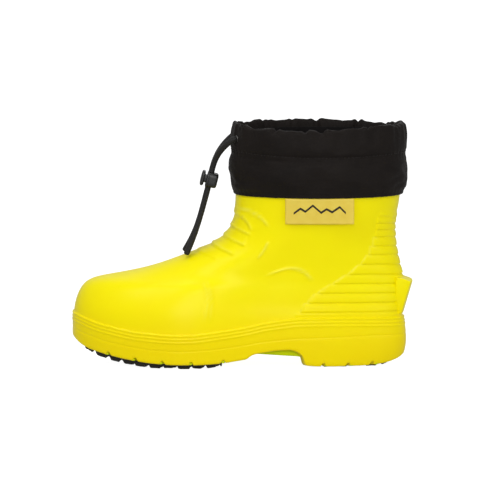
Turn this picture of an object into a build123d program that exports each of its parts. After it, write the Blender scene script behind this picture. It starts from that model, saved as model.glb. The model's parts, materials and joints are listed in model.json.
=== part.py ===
from build123d import *
from dataclasses import dataclass
import math
import os

# A left winter boot: a moulded foam shell with a sole plate and rubber treads, a nylon collar with a
# drawcord and a spring cord lock, and a removable fleece liner. Millimetres. +Z is up, the toe points
# to -X and the outer (lateral) side of the foot to -Y. The origin is on the ground under the middle of
# the heel. Pieces that touch on the real boot stand a hair apart here.

os.makedirs("parts", exist_ok=True)

# Driving dimensions -----------------------------------------------------------------------------
GAP = 0.1                 # space left between pieces that lie on each other
OUTLINE_POINTS = 36       # points round each closed outline
BLANK_HALF = 90           # half-width of the blanks that trim the body, wider than the boot
FAR = 400                 # beyond the boot in every direction

SHELL_TOP = 176           # shell edge, hidden inside the collar
SHELL_WALL = 4.6          # foam wall of the upper
LINER_WALL = 1.4          # woven outer layer of the liner
FLEECE_WALL = 4.0         # pile of the liner
LINER_TOP = 186
INSOLE_WALL = 4.0

LEG_X = -28               # middle of the leg opening
HEM_Z = 158
TUNNEL_Z = 195            # stitch line under the cord tunnel
RIM_Z = 221
GAITER_WALL = 1.6
LINING_WALL = 0.8
THREAD_RADIUS = 0.4
HEM_STITCH_Z = HEM_Z + 2.5

CORD_RADIUS = 2.7
CORD_Z = 208.5            # height of the drawcord in its tunnel
EYELET_Y = 20             # each eyelet stands this far from the middle of the front
EYELET_BORE = 3.1
EYELET_BARREL = 3.9
EYELET_FLANGE = 5.2
EYELET_SHEET = 0.6

LOCK_X, LOCK_Y, LOCK_Z = -127.5, -7, 171    # middle of the two cords inside the lock
LOCK_LEAN = 14            # degrees the cords lean forward there
LOCK_SLIDE = 8            # the lock slides this far each way
LOCK_HALF_LENGTH = 6.8    # along the cords
LOCK_HALF_WIDTH = 8.4     # across the cords
PRESS = 1.4               # travel of the plunger
LOCK_FIT = 0.06           # clearance of the plunger and of the cords in the lock
BUTTON = 2.4              # thickness of the button head

LABEL_X0, LABEL_X1 = -58.5, 4.3
LABEL_TOP, LABEL_BOTTOM = 157.4, 134
LABEL_BACK_Y = -52        # inner face of the label at its top edge, just behind the hem
LABEL_TILT = 3            # degrees that its free edge leans in to the leg
LABEL_BOW = 1.2           # it is bowed a little, like the leg behind it
LABEL_SHEET = 1.0

PLATE_INSET = 6.5         # the sole plate stands this far inside the sole wall's outer face
TREAD_INSET = 9.5
LUG_DEPTH = 2.6
GROOVE = 3.4              # width of the grooves between lugs
FOREFOOT_TREAD = (-246, -116)                # front and back end of each tread
HEEL_TREAD = (-36, 40)
FOREFOOT_GROOVE_XS = [-236 + 13 * i for i in range(9)]
FOREFOOT_GROOVE_YS = [-18, 4, 26]
HEEL_GROOVE_XS = [-24, -11, 11, 24]
HEEL_GROOVE_YS = [-14, 14]


@dataclass
class Ring:
    """A closed outline round the boot, from a point on its front to a point on its back."""
    front: tuple          # x, z
    rear: tuple           # x, z
    fore_half: float      # half-width near the front: the ball of the foot, low on the boot
    waist_half: float
    heel_half: float
    square: float         # exponent of the rounded ends: 2 is an ellipse, more is boxier
    lean: float           # how far the front end leans to the big toe, +Y


RINGS = [
    Ring((-247, -4), (45, -4), 57, 41, 40, 2.7, 8),
    Ring((-252, 16), (51.5, 14), 59, 43, 42.5, 2.7, 8),
    Ring((-253, 32), (52.4, 30), 60, 44, 43, 2.7, 8),
    Ring((-252.6, 48), (50.5, 45), 59, 44, 42.5, 2.7, 8),
    Ring((-250.5, 60), (49.5, 55), 57, 43, 41, 2.6, 8),
    Ring((-245.5, 71), (50.2, 64), 54, 42.5, 40.5, 2.5, 8),
    Ring((-236, 78.5), (50.6, 72), 50.5, 42, 40, 2.4, 7),
    Ring((-220, 82.4), (50.4, 79), 47, 41.5, 39.8, 2.3, 6),
    Ring((-198, 86.6), (49, 86.5), 45, 41.2, 39.6, 2.3, 5),
    Ring((-176, 92.3), (47, 94.5), 44.5, 41.2, 39.6, 2.3, 4),
    Ring((-155, 99.8), (45.3, 102.5), 44.5, 41.8, 40, 2.3, 3),
    Ring((-136, 107.3), (43.8, 111), 45, 42.6, 40.6, 2.25, 2),
    Ring((-121, 114.6), (43, 121), 46, 44, 42, 2.2, 1),
    Ring((-110.5, 124.6), (42.9, 131), 47.5, 46, 44.5, 2.2, 0.5),
    Ring((-105.2, 138), (44.4, 142), 49.5, 49, 47.5, 2.2, 0),
    Ring((-104.1, 157), (46.3, 157), 51.5, 51.5, 50.5, 2.2, 0),
    Ring((-104, 176), (46.6, 176), 52, 52, 51.5, 2.2, 0),
    Ring((-104, 200), (47, 200), 52, 52, 52, 2.2, 0),
]

# Lines along the boot's length, as (x, z) from toe to heel
SOLE_TOE = [(-262, 36), (-252, 25.5), (-239, 17), (-206, 9), (-165, 4.4), (-115, 5.2), (-93, 8.6)]
SOLE_ARCH = [(-87.4, 12.9), (-66, 16.7), (-56, 17.3), (-45, 12.6)]
SOLE_HEEL = [(-41.7, 3.2), (-33, 1.8), (-10, 1.5), (20, 2), (38, 3.6), (47, 6.6), (62, 15)]
FOOTBED = [(-266, 36), (-250, 31), (-210, 22), (-165, 19.5), (-115, 24), (-60, 31), (0, 30), (60, 32)]
PLATE_TOP = [(-266, 33), (-240, 23.5), (-206, 15), (-165, 11), (-115, 13), (-60, 21), (0, 13), (60, 19)]
PLATE_FLOOR = [(-266, 40), (-252, 28.5), (-239, 20), (-206, 11.2), (-165, 6.2), (-115, 7.4),
               (-84, 13), (-46, 10.6), (-30, 6.6), (-10, 5), (20, 5), (38, 8), (62, 17)]
TREAD_TOE = [(-256, 25), (-246, 18.6), (-226, 10.6), (-206, 5.4), (-184, 1.4)]
TREAD_TOE_FLAT = (-170, -134)                # lugs between these stand on the ground
TREAD_TOE_END = (-112, 2.6)
TREAD_HEEL_START = -40
TREAD_HEEL_FLAT_END = 28
TREAD_HEEL_END = (44, 4.6)

# Side view of the moulded heel spur
SPUR = [(36, 47), (50.2, 48), (58.8, 77.9), (51, 80.7), (36, 82)]
SPUR_HALF = 19

# Notches in the lower edge of the sole wall
NOTCHES = [-221, -197, -172, -145, -115, -20.5, 2.7, 25]
NOTCH_RADIUS = 1.9


def smooth(a, b, t):
    """Ease from a to b as t goes from 0 to 1."""
    t = min(max(t, 0), 1)
    return a + (b - a) * (1 - math.cos(math.pi * t)) / 2


def half_width(ring, s):
    """Half-width of a ring at s, 0 at its front and 1 at its back, before its ends are rounded."""
    ball, waist, heel = 0.28, 0.6, 0.86
    if s < waist:
        return smooth(ring.fore_half, ring.waist_half, (s - ball) / (waist - ball))
    return smooth(ring.waist_half, ring.heel_half, (s - waist) / (heel - waist))


def inward(points, index, inset, side):
    """A point of a front (side 1) or back (side -1) profile, moved square to it into the boot."""
    before = points[max(index - 1, 0)]
    after = points[min(index + 1, len(points) - 1)]
    dx, dz = after[0] - before[0], after[1] - before[1]
    length = math.hypot(dx, dz)
    x, z = points[index]
    return x + side * inset * dz / length, z - side * inset * dx / length


def ring_points(index, inset):
    """Points round one ring, the whole ring moved into the boot by inset."""
    ring = RINGS[index]
    front_x, front_z = inward([r.front for r in RINGS], index, inset, 1)
    rear_x, rear_z = inward([r.rear for r in RINGS], index, inset, -1)
    points = []
    for i in range(OUTLINE_POINTS):
        angle = 2 * math.pi * i / OUTLINE_POINTS
        s = (1 - math.cos(angle)) / 2
        end = (1 - abs(math.cos(angle)) ** ring.square) ** (1 / ring.square)
        y = math.copysign((half_width(ring, s) - inset) * end, -math.sin(angle))
        lean = ring.lean * (1 - s) ** 2
        points.append((front_x + (rear_x - front_x) * s, y + lean, front_z + (rear_z - front_z) * s))
    return points


def closed_wire(points):
    return Wire([Edge.make_spline(points, periodic=True)])


def boot_form(inset):
    """The boot's solid form from below the sole to above the collar, moved inwards by inset."""
    return Solid.make_loft([closed_wire(ring_points(i, inset)) for i in range(len(RINGS))])


def side_blank(edges, half=BLANK_HALF):
    """A blank with a closed outline in the side view, running across the boot."""
    return extrude(Plane.XZ * make_face(edges), half, both=True)


def curve(points):
    return Spline(*points)


def blank_above(line, top=260):
    """Everything above a line along the boot."""
    (x0, z0), (x1, z1) = line[0], line[-1]
    walls = Polyline((x1, z1), (x1, top), (x0, top), (x0, z0))
    return side_blank([curve(line), *walls.edges()])


def blank_below(edges, start, end, bottom=-40):
    """Everything below a chain of edges that runs from start to end."""
    walls = Polyline(end, (end[0], bottom), (start[0], bottom), start)
    return side_blank([*edges, *walls.edges()])


def slab(x0, x1, z0, z1):
    return Pos((x0 + x1) / 2, 0, (z0 + z1) / 2) * Box(x1 - x0, 2 * BLANK_HALF, z1 - z0)


def below_sole():
    """Everything below the lower edge of the sole wall, with its arch and heel block."""
    edges = [
        curve(SOLE_TOE),
        Line(SOLE_TOE[-1], SOLE_ARCH[0]),
        curve(SOLE_ARCH),
        Line(SOLE_ARCH[-1], SOLE_HEEL[0]),
        curve(SOLE_HEEL),
    ]
    return blank_below(edges, SOLE_TOE[0], SOLE_HEEL[-1])


def single(shape):
    """The largest solid of a result, which drops slivers left by trimming."""
    return max(shape.solids(), key=lambda s: s.volume)


def lift(line, amount):
    return [(x, z + amount) for x, z in line]


def height_on(line, x):
    """Height of a line of (x, z) points at x."""
    for (x0, z0), (x1, z1) in zip(line, line[1:]):
        if x0 <= x <= x1:
            return z0 + (z1 - z0) * (x - x0) / (x1 - x0)
    raise ValueError(f"{x} is off the line")


# Foam shell and sole ----------------------------------------------------------------------------
def make_shell():
    shell = boot_form(0) + side_blank(Polyline(*SPUR, close=True).edges(), SPUR_HALF)
    shell = shell - slab(-FAR, FAR, SHELL_TOP, FAR)
    shell = shell - (boot_form(SHELL_WALL) & blank_above(FOOTBED))
    shell = shell - below_sole()
    recess = boot_form(PLATE_INSET) - blank_above(PLATE_TOP)
    shell = shell - recess
    for x in NOTCHES:
        line = SOLE_TOE if x < SOLE_TOE[-1][0] else SOLE_HEEL
        z = height_on(line, x)
        shell = shell - Pos(x, 0, z) * Rot(90, 0, 0) * Cylinder(NOTCH_RADIUS, 2 * BLANK_HALF)
    return single(shell)


def make_sole_plate():
    body = boot_form(PLATE_INSET + GAP) & blank_above(PLATE_FLOOR)
    return single(body - blank_above(lift(PLATE_TOP, -GAP)))


def forefoot_ground(amount):
    """The underside of the forefoot tread, lifted by amount."""
    flat0, flat1 = TREAD_TOE_FLAT
    toe = lift(TREAD_TOE + [(flat0, 0)], amount)
    start, end = toe[0], (TREAD_TOE_END[0], TREAD_TOE_END[1] + amount)
    edges = [curve(toe), *Polyline(toe[-1], (flat1, amount), end).edges()]
    return blank_below(edges, start, end)


def heel_ground(amount):
    """The underside of the heel tread, lifted by amount."""
    start, flat_end = (TREAD_HEEL_START, amount), (TREAD_HEEL_FLAT_END, amount)
    end = (TREAD_HEEL_END[0], TREAD_HEEL_END[1] + amount)
    return blank_below(Polyline(start, flat_end, end).edges(), start, end)


def make_tread(ends, ground, groove_xs, groove_ys):
    """A tread pad on the sole plate, with lugs left between grooves."""
    x0, x1 = ends
    pad = boot_form(TREAD_INSET) - blank_above(lift(PLATE_FLOOR, -GAP))
    pad = (pad & slab(x0, x1, -FAR, FAR)) - ground(0)
    cuts = ground(LUG_DEPTH)
    for x in groove_xs:
        pad = pad - (cuts & slab(x - GROOVE / 2, x + GROOVE / 2, -FAR, FAR))
    for y in groove_ys:
        pad = pad - (cuts & Pos(0, y, 0) * Box(2 * FAR, GROOVE, 2 * FAR))
    return single(pad)


# Collar -----------------------------------------------------------------------------------------
COLLAR_SQUARE = 2.2
COLLAR_SIDE = 0.69        # width over length of the collar's outline
# Height and half-length of the collar's outer face; height and depth of the lining's outer face in it
COLLAR = [(HEM_Z, 78.1), (164, 79.6), (178, 80.8), (TUNNEL_Z, 80), (208, 80), (RIM_Z, 79)]
LINING = [(178.5, 1.9), (187, 2.4), (200, 8.8), (216, 8.8), (RIM_Z - 1, 4)]


def collar_points(z, inset=0):
    """Points round the collar at one height, starting at the front, moved into it by inset."""
    half_length = collar_half_at(z)
    points = []
    for i in range(OUTLINE_POINTS):
        angle = 2 * math.pi * i / OUTLINE_POINTS
        along = math.copysign(abs(math.cos(angle)) ** (2 / COLLAR_SQUARE), math.cos(angle))
        across = math.copysign(abs(math.sin(angle)) ** (2 / COLLAR_SQUARE), math.sin(angle))
        x = LEG_X - (half_length - inset) * along
        y = -(half_length * COLLAR_SIDE - inset) * across
        points.append((x, y, z))
    return points


def collar_tube(levels, wall, depths=None):
    """A thin wall round the leg at these heights, its outer face this deep in the collar."""
    faces = []
    for inset in (0, wall):
        wires = []
        for z, depth in zip(levels, depths or [0] * len(levels)):
            wires.append(closed_wire(collar_points(z, depth + inset)))
        faces.append(Solid.make_loft(wires, ruled=True))
    return single(faces[0] - faces[1])


def collar_half_at(z):
    """Half-length of the collar at a height."""
    for (z0, h0), (z1, h1) in zip(COLLAR, COLLAR[1:]):
        if z0 <= z <= z1:
            return h0 + (h1 - h0) * (z - z0) / (z1 - z0)
    raise ValueError(f"{z} is off the collar")


def collar_front(y, z):
    """The x of the collar's front at a given y and height."""
    half = collar_half_at(z)
    wide = half * COLLAR_SIDE
    return LEG_X - half * (1 - (abs(y) / wide) ** COLLAR_SQUARE) ** (1 / COLLAR_SQUARE)


def eyelet_plane(side):
    """The collar's outer face at an eyelet: its own Z points out of the cloth."""
    step = 0.5
    y = side * EYELET_Y
    slope = (collar_front(y + step, CORD_Z) - collar_front(y - step, CORD_Z)) / (2 * step)
    normal = Vector(-1, slope, 0).normalized()
    return Plane(origin=(collar_front(y, CORD_Z), y, CORD_Z), z_dir=normal)


def ring_solid(inner, outer, low, high):
    body = Pos(0, 0, (low + high) / 2) * Cylinder(outer, high - low)
    return body - Pos(0, 0, (low + high) / 2) * Cylinder(inner, high - low + 2)


CLOTH_OUT, CLOTH_IN = -0.35, -1.25      # faces of the pinched cloth under the eyelet's flanges
PINCH_REACH = 8                         # longer than the cloth is thick where an eyelet pinches it


def make_eyelet(side):
    flange = ring_solid(EYELET_BORE, EYELET_FLANGE, CLOTH_OUT + GAP, CLOTH_OUT + GAP + EYELET_SHEET)
    barrel = ring_solid(EYELET_BORE, EYELET_BARREL, CLOTH_IN - GAP - EYELET_SHEET, CLOTH_OUT + GAP)
    return single(eyelet_plane(side) * (flange + barrel))


def make_washer(side):
    top = CLOTH_IN - GAP
    washer = ring_solid(EYELET_BARREL + GAP, EYELET_FLANGE, top - EYELET_SHEET, top)
    return single(eyelet_plane(side) * washer)


def make_gaiter_outer():
    cloth = collar_tube([z for z, half in COLLAR], GAITER_WALL)
    room = EYELET_FLANGE + 2 * GAP
    for side in (-1, 1):
        hole = Cylinder(EYELET_BARREL + GAP, 2 * PINCH_REACH)
        outside = Pos(0, 0, CLOTH_OUT + PINCH_REACH / 2) * Cylinder(room, PINCH_REACH)
        inside = Pos(0, 0, CLOTH_IN - PINCH_REACH / 2) * Cylinder(room, PINCH_REACH)
        cloth = cloth - eyelet_plane(side) * (hole + outside + inside)
    return single(cloth)


def make_gaiter_lining():
    return collar_tube([z for z, depth in LINING], LINING_WALL, [depth for z, depth in LINING])


def tube(path, radius):
    section = Plane(origin=path @ 0, z_dir=path % 0) * Circle(radius)
    return sweep(section, path=path)


def make_thread(z):
    """A stitch line as one thin cord round the collar."""
    return tube(closed_wire(collar_points(z, -THREAD_RADIUS - GAP)), THREAD_RADIUS)


# Drawcord ---------------------------------------------------------------------------------------
CORD_DEPTH = GAITER_WALL + GAP + CORD_RADIUS           # middle of the cord below the collar's outer face
EYELET_FACE = CLOTH_OUT + GAP + EYELET_SHEET
BALL_STAND = 3.0          # the free cord turns about a point this far in front of the eyelet
BALL_HEADING = Vector(-1, 0, -0.35)
BEND_OUT, BEND_DOWN = 9.5, 9                 # from the ball to the first bend of a tail
KNEE_OUT, KNEE_DOWN = 8.5, 29                # from its straight run to its knee
CONVERGE = 0.45           # share of the sideways way to the next point that is made by each of these
RUN_SPARE = 1             # straight cord past the lock at each end of its travel
LATERAL_TIP = Vector(-149.4, -18, 102.4)
MEDIAL_TIP = Vector(-151.2, -3, 104.2)
TIP_HEADING = Vector(-0.45, 0, -0.9)
CORD_TURN_Y = 33          # from here to the eyelet the drawcord leaves the collar's line
CORD_TURN_REACH = 4       # how slowly it does
CORD_BEND_START = 2.2     # it bends behind the eyelet, from this far below the collar's outer face
CORD_BEND = 3.4           # radius of that bend
ROUND = 0.5523            # length of a Bezier handle that makes a quarter circle, over its radius


def make_drawcord():
    """The cord in the tunnel, round the back of the leg from one eyelet to the other."""
    ring = [Vector(p) for p in collar_points(CORD_Z, CORD_DEPTH)]
    turned = [p for p in ring if p.X > LEG_X or abs(p.Y) > CORD_TURN_Y]
    round_leg = Edge.make_spline(turned)

    def cord_end(side, start, along):
        """From the eyelet's face through its barrel, round a bend and along to the start of round_leg."""
        plane = eyelet_plane(side)
        inwards = plane.z_dir * -1
        sideways = plane.z_dir.cross(Vector(0, 0, side))
        face = plane.origin - inwards * EYELET_FACE
        top = plane.origin + inwards * CORD_BEND_START
        turn = top + (inwards + sideways) * CORD_BEND
        handle = CORD_BEND * ROUND
        bend = Edge.make_bezier(top, top + inwards * handle, turn - sideways * handle, turn)
        handles = turn + sideways * CORD_TURN_REACH, start - along * CORD_TURN_REACH
        rest = Edge.make_bezier(turn, *handles, start)
        return [Edge.make_line(face, top), bend, rest]

    lateral = cord_end(-1, round_leg @ 0, round_leg % 0)
    medial = cord_end(1, round_leg @ 1, (round_leg % 1) * -1)
    return tube(Wire([*lateral, round_leg, *reversed(medial)]), CORD_RADIUS)


def lock_plane():
    """The lock's frame: X is the press direction, Y runs across the cords, Z up along them."""
    lean = math.radians(LOCK_LEAN)
    x_dir = (math.cos(lean), 0, -math.sin(lean))
    z_dir = (math.sin(lean), 0, math.cos(lean))
    return Plane(origin=(LOCK_X, LOCK_Y, LOCK_Z), x_dir=x_dir, z_dir=z_dir)


def make_cord_tail(side, tip):
    """A free cord end: a ball at the eyelet, a bend, a straight run through the lock, and a tail."""
    plane = eyelet_plane(side)
    ball = plane.origin + plane.z_dir * (EYELET_FACE + BALL_STAND)
    lock = lock_plane()
    run = LOCK_HALF_LENGTH + LOCK_SLIDE + RUN_SPARE
    lane = side * (CORD_RADIUS + LOCK_FIT / 2)
    top = lock.from_local_coords(Vector(0, lane, run))
    bottom = lock.from_local_coords(Vector(0, lane, -run))
    bend = Vector(ball.X - BEND_OUT, ball.Y + (top.Y - ball.Y) * CONVERGE, ball.Z - BEND_DOWN)
    down = lock.z_dir * -1
    knee = Vector(bottom.X - KNEE_OUT, bottom.Y + (tip.Y - bottom.Y) * CONVERGE, bottom.Z - KNEE_DOWN)
    upper = Edge.make_spline([ball, bend, top], tangents=[BALL_HEADING, down])
    middle = Edge.make_line(top, bottom)
    lower = Edge.make_spline([bottom, knee, tip], tangents=[down, TIP_HEADING])
    cord = tube(Wire([upper, middle, lower]), CORD_RADIUS)
    return single(cord + Pos(*ball) * Sphere(CORD_RADIUS))


# Cord lock --------------------------------------------------------------------------------------
LANE_HALF = 2 * CORD_RADIUS + 1.5 * LOCK_FIT          # half the room of two cords side by side
BODY_FACE = -(CORD_RADIUS + LOCK_FIT + 0.6)            # face of the body under the button
BODY_END = 7.2
CAVITY_END = 6.4
FAR_WALL = 0.9                                         # plunger wall that grips the cords
STEM_HALF_WIDTH = LANE_HALF + 1.3
STEM_HALF_LENGTH = 3.4
HEAD_HALF_WIDTH = LOCK_HALF_WIDTH - 0.6                # across the cords
HEAD_HALF_LENGTH = LOCK_HALF_LENGTH - 0.3              # along the cords
OVERCUT = 1.0                                          # how far a cutter runs past what it cuts
BODY_CORNER, BODY_EDGE = 2.6, 0.9                      # fillets
HEAD_CORNER, HEAD_EDGE = 3.0, 1.6


def slot_box(u0, u1, half_v, half_w):
    return Pos((u0 + u1) / 2, 0, 0) * Box(u1 - u0, 2 * half_v, 2 * half_w)


def make_lock_body():
    body = slot_box(BODY_FACE, BODY_END, LOCK_HALF_WIDTH, LOCK_HALF_LENGTH)
    body = fillet(body.edges().filter_by(Axis.X), BODY_CORNER)
    body = fillet(body.faces().sort_by(Axis.X)[-1].edges(), BODY_EDGE)
    room = STEM_HALF_WIDTH + LOCK_FIT, STEM_HALF_LENGTH + LOCK_FIT
    body = body - slot_box(BODY_FACE - OVERCUT, CAVITY_END, *room)
    lane = CORD_RADIUS + LOCK_FIT
    body = body - slot_box(-lane, lane, LANE_HALF, LOCK_HALF_LENGTH + OVERCUT)
    return single(lock_plane() * body)


def make_lock_plunger():
    lane = CORD_RADIUS + LOCK_FIT
    head_face = BODY_FACE - PRESS - 2 * GAP
    stem = slot_box(head_face, lane + FAR_WALL, STEM_HALF_WIDTH, STEM_HALF_LENGTH)
    window = slot_box(-lane - PRESS - GAP, lane, LANE_HALF, STEM_HALF_LENGTH + OVERCUT)
    head = slot_box(head_face - BUTTON, head_face, HEAD_HALF_WIDTH, HEAD_HALF_LENGTH)
    head = fillet(head.edges().filter_by(Axis.X), HEAD_CORNER)
    head = fillet(head.faces().sort_by(Axis.X)[0].edges(), HEAD_EDGE)
    return single(lock_plane() * (head + (stem - window)))


SPRING_WIRE = 0.15        # radius of the wire
SPRING_RADIUS = 2.4
SPRING_TURNS = 2


def make_lock_spring():
    start = CORD_RADIUS + LOCK_FIT + FAR_WALL + SPRING_WIRE + GAP
    height = CAVITY_END - SPRING_WIRE - GAP - start
    coil = Edge.make_helix(height / SPRING_TURNS, height, SPRING_RADIUS)
    wire = tube(coil, SPRING_WIRE)
    return single(lock_plane() * (Pos(start, 0, 0) * Rot(0, 90, 0) * wire))


# Label ------------------------------------------------------------------------------------------
def make_label():
    middle = (LABEL_X0 + LABEL_X1) / 2

    def arc(y):
        return ThreePointArc((LABEL_X0, y + LABEL_BOW), (middle, y), (LABEL_X1, y + LABEL_BOW))

    front = arc(-LABEL_SHEET)
    back = arc(0)
    ends = [Line(front @ 0, back @ 0), Line(front @ 1, back @ 1)]
    sheet = make_face([front, back, *ends])
    label = extrude(sheet, LABEL_TOP - LABEL_BOTTOM, dir=(0, 0, -1))
    return single(Pos(0, LABEL_BACK_Y, LABEL_TOP) * Rot(LABEL_TILT, 0, 0) * label)


# Liner ------------------------------------------------------------------------------------------
LINER_INSET = SHELL_WALL + 0.4
FLEECE_INSET = LINER_INSET + LINER_WALL + GAP
FOOT_INSET = FLEECE_INSET + FLEECE_WALL
INSOLE_INSET = FOOT_INSET + 0.5


def liner_layer(outer_inset, inner_inset, outer_lift, inner_lift, top):
    """One layer of the liner: a hollow boot form with a floor."""
    outer = boot_form(outer_inset) & blank_above(lift(FOOTBED, outer_lift))
    inner = boot_form(inner_inset) & blank_above(lift(FOOTBED, inner_lift))
    return single(outer - inner - slab(-FAR, FAR, top, FAR))


def make_liner_outer():
    return liner_layer(LINER_INSET, LINER_INSET + LINER_WALL, GAP, GAP + LINER_WALL, LINER_TOP)


def make_liner_fleece():
    floor = 2 * GAP + LINER_WALL
    return liner_layer(FLEECE_INSET, FOOT_INSET, floor, floor + FLEECE_WALL, LINER_TOP)


def make_insole():
    floor = 3 * GAP + LINER_WALL + FLEECE_WALL
    body = boot_form(INSOLE_INSET) & blank_above(lift(FOOTBED, floor))
    return single(body - blank_above(lift(FOOTBED, floor + INSOLE_WALL)))


BINDING_TOP = LINER_TOP + 1.6


def make_liner_binding():
    """Tape over the liner's top edge."""
    band = boot_form(LINER_INSET) - boot_form(FOOT_INSET)
    return single(band & slab(-FAR, FAR, LINER_TOP + GAP, BINDING_TOP))


LOOP_HALF = 9             # half-width of the pull loop
LOOP_SHEET = 1.4
LOOP_RISE = 12
LOOP_BAND = 4             # width of the webbing
LOOP_X = 39.1             # over the middle of the liner's wall at the back of the leg


def make_pull_loop():
    """A webbing loop that stands on the binding at the back of the liner."""
    base = BINDING_TOP + GAP
    straight = LOOP_RISE - LOOP_HALF
    outer = Pos(0, straight / 2) * Rectangle(2 * LOOP_HALF, straight) + Pos(0, straight) * Circle(LOOP_HALF)
    hole_half = LOOP_HALF - LOOP_SHEET
    inner = Pos(0, straight / 2) * Rectangle(2 * hole_half, straight) + Pos(0, straight) * Circle(hole_half)
    sheet = outer - inner - Pos(0, -LOOP_HALF) * Rectangle(4 * LOOP_HALF, 2 * LOOP_HALF)
    across = Plane(origin=(LOOP_X, 0, base), x_dir=(0, 1, 0), z_dir=(1, 0, 0))
    return single(extrude(across * sheet, LOOP_BAND / 2, both=True))


NODES = {
    "shell": make_shell(),
    "sole_plate": make_sole_plate(),
    "forefoot_tread": make_tread(FOREFOOT_TREAD, forefoot_ground, FOREFOOT_GROOVE_XS, FOREFOOT_GROOVE_YS),
    "heel_tread": make_tread(HEEL_TREAD, heel_ground, HEEL_GROOVE_XS, HEEL_GROOVE_YS),
    "gaiter_outer": make_gaiter_outer(),
    "gaiter_lining": make_gaiter_lining(),
    "hem_thread": make_thread(HEM_STITCH_Z),
    "tunnel_thread": make_thread(TUNNEL_Z),
    "label_tab": make_label(),
    "eyelet_lateral": make_eyelet(-1),
    "eyelet_medial": make_eyelet(1),
    "eyelet_washer_lateral": make_washer(-1),
    "eyelet_washer_medial": make_washer(1),
    "drawcord": make_drawcord(),
    "cord_tail_lateral": make_cord_tail(-1, LATERAL_TIP),
    "cord_tail_medial": make_cord_tail(1, MEDIAL_TIP),
    "cord_lock_body": make_lock_body(),
    "cord_lock_plunger": make_lock_plunger(),
    "cord_lock_spring": make_lock_spring(),
    "liner_outer": make_liner_outer(),
    "liner_fleece": make_liner_fleece(),
    "liner_binding": make_liner_binding(),
    "liner_pull_loop": make_pull_loop(),
    "insole": make_insole(),
}

for name, solid in NODES.items():
    export_step(solid, f"parts/{name}.step")
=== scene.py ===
import json
import math

import bmesh
import bpy
import numpy as np
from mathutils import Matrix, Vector


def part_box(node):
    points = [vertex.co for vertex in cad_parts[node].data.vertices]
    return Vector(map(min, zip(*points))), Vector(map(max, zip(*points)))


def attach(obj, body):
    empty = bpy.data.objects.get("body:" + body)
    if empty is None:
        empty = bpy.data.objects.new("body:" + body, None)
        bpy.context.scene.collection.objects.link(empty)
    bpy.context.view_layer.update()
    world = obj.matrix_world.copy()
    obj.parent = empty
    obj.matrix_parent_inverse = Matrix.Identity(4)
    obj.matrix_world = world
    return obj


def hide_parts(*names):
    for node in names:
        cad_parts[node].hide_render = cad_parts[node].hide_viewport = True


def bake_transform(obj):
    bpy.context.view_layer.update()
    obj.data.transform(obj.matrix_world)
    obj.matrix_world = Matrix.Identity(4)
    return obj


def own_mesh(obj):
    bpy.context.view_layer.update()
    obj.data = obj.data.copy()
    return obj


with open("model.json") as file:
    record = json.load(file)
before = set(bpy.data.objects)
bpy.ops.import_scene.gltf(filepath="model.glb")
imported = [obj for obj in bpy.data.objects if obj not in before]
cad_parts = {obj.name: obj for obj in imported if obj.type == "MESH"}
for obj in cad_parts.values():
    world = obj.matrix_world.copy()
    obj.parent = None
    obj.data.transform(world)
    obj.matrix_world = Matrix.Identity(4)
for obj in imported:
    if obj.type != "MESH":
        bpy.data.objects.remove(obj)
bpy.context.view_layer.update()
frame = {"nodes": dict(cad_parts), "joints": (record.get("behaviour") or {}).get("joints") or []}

# The looks of a left winter boot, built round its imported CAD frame. Metres. The toe points to -X, the
# outer side of the foot to -Y, and the ground is at z = 0.

MM = 0.001

SHELL_LOW, SHELL_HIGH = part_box("shell")
COLLAR_LOW, COLLAR_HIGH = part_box("gaiter_outer")
LABEL_LOW, LABEL_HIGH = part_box("label_tab")
TOE_X = SHELL_LOW.x
JOINTS = {joint["name"]: joint for joint in frame["joints"]}


def toe(mm):
    """An x, given in millimetres behind the tip of the toe."""
    return TOE_X + np.asarray(mm, float) * MM


# Numbers and curves -----------------------------------------------------------------------------
def smooth_step(low, high, value):
    t = np.clip((value - low) / (high - low), 0, 1)
    return t * t * (3 - 2 * t)


def cubic(values):
    """A natural cubic spline through evenly spaced values, as a function of the index."""
    values = np.asarray(values, float)
    n = len(values)
    matrix = np.eye(n)
    right = np.zeros(n)
    for i in range(1, n - 1):
        matrix[i, i - 1:i + 2] = (1, 4, 1)
        right[i] = 6 * (values[i - 1] - 2 * values[i] + values[i + 1])
    bend = np.linalg.solve(matrix, right)

    def evaluate(t):
        i = np.clip(np.floor(t).astype(int), 0, n - 2)
        b = t - i
        a = 1 - b
        curved = (a ** 3 - a) * bend[i] + (b ** 3 - b) * bend[i + 1]
        return a * values[i] + b * values[i + 1] + curved / 6

    return evaluate


def line_height(line, x):
    """Height at x of a line of (mm behind the toe, mm above the ground) points."""
    xs = toe([p[0] for p in line])
    zs = np.array([p[1] for p in line]) * MM
    return np.interp(x, xs, zs)


def soft_line_height(line, x, reach=6 * MM):
    """The same line with its corners rounded."""
    offsets = np.linspace(-reach, reach, 9)
    return np.mean([line_height(line, x + d) for d in offsets], axis=0)


def noise(points, scale, seed, octaves=2):
    """Smooth noise between about -1 and 1, from sums of waves in fixed random directions."""
    rng = np.random.default_rng(seed)
    total = np.zeros(points.shape[:-1])
    strength = 0
    for octave in range(octaves):
        for _ in range(7):
            direction = rng.normal(size=3)
            direction *= 2 * math.pi / (scale * 0.5 ** octave * np.linalg.norm(direction))
            total += 0.5 ** octave * np.sin(points @ direction + rng.uniform(0, 2 * math.pi))
        strength += 0.5 ** octave * 7
    return total / strength * 2.2


def round_turn(count):
    """Evenly spaced angles of a full turn."""
    return np.linspace(0, 2 * math.pi, count, endpoint=False)


def lengths_along(path):
    """Length from the start of a path to each of its points."""
    return np.concatenate([[0], np.cumsum(np.linalg.norm(np.diff(path, axis=0), axis=1))])


def signed_power(value, power):
    """A power that keeps the value's sign; it squares off a cosine or sine."""
    return np.sign(value) * np.abs(value) ** power


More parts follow.
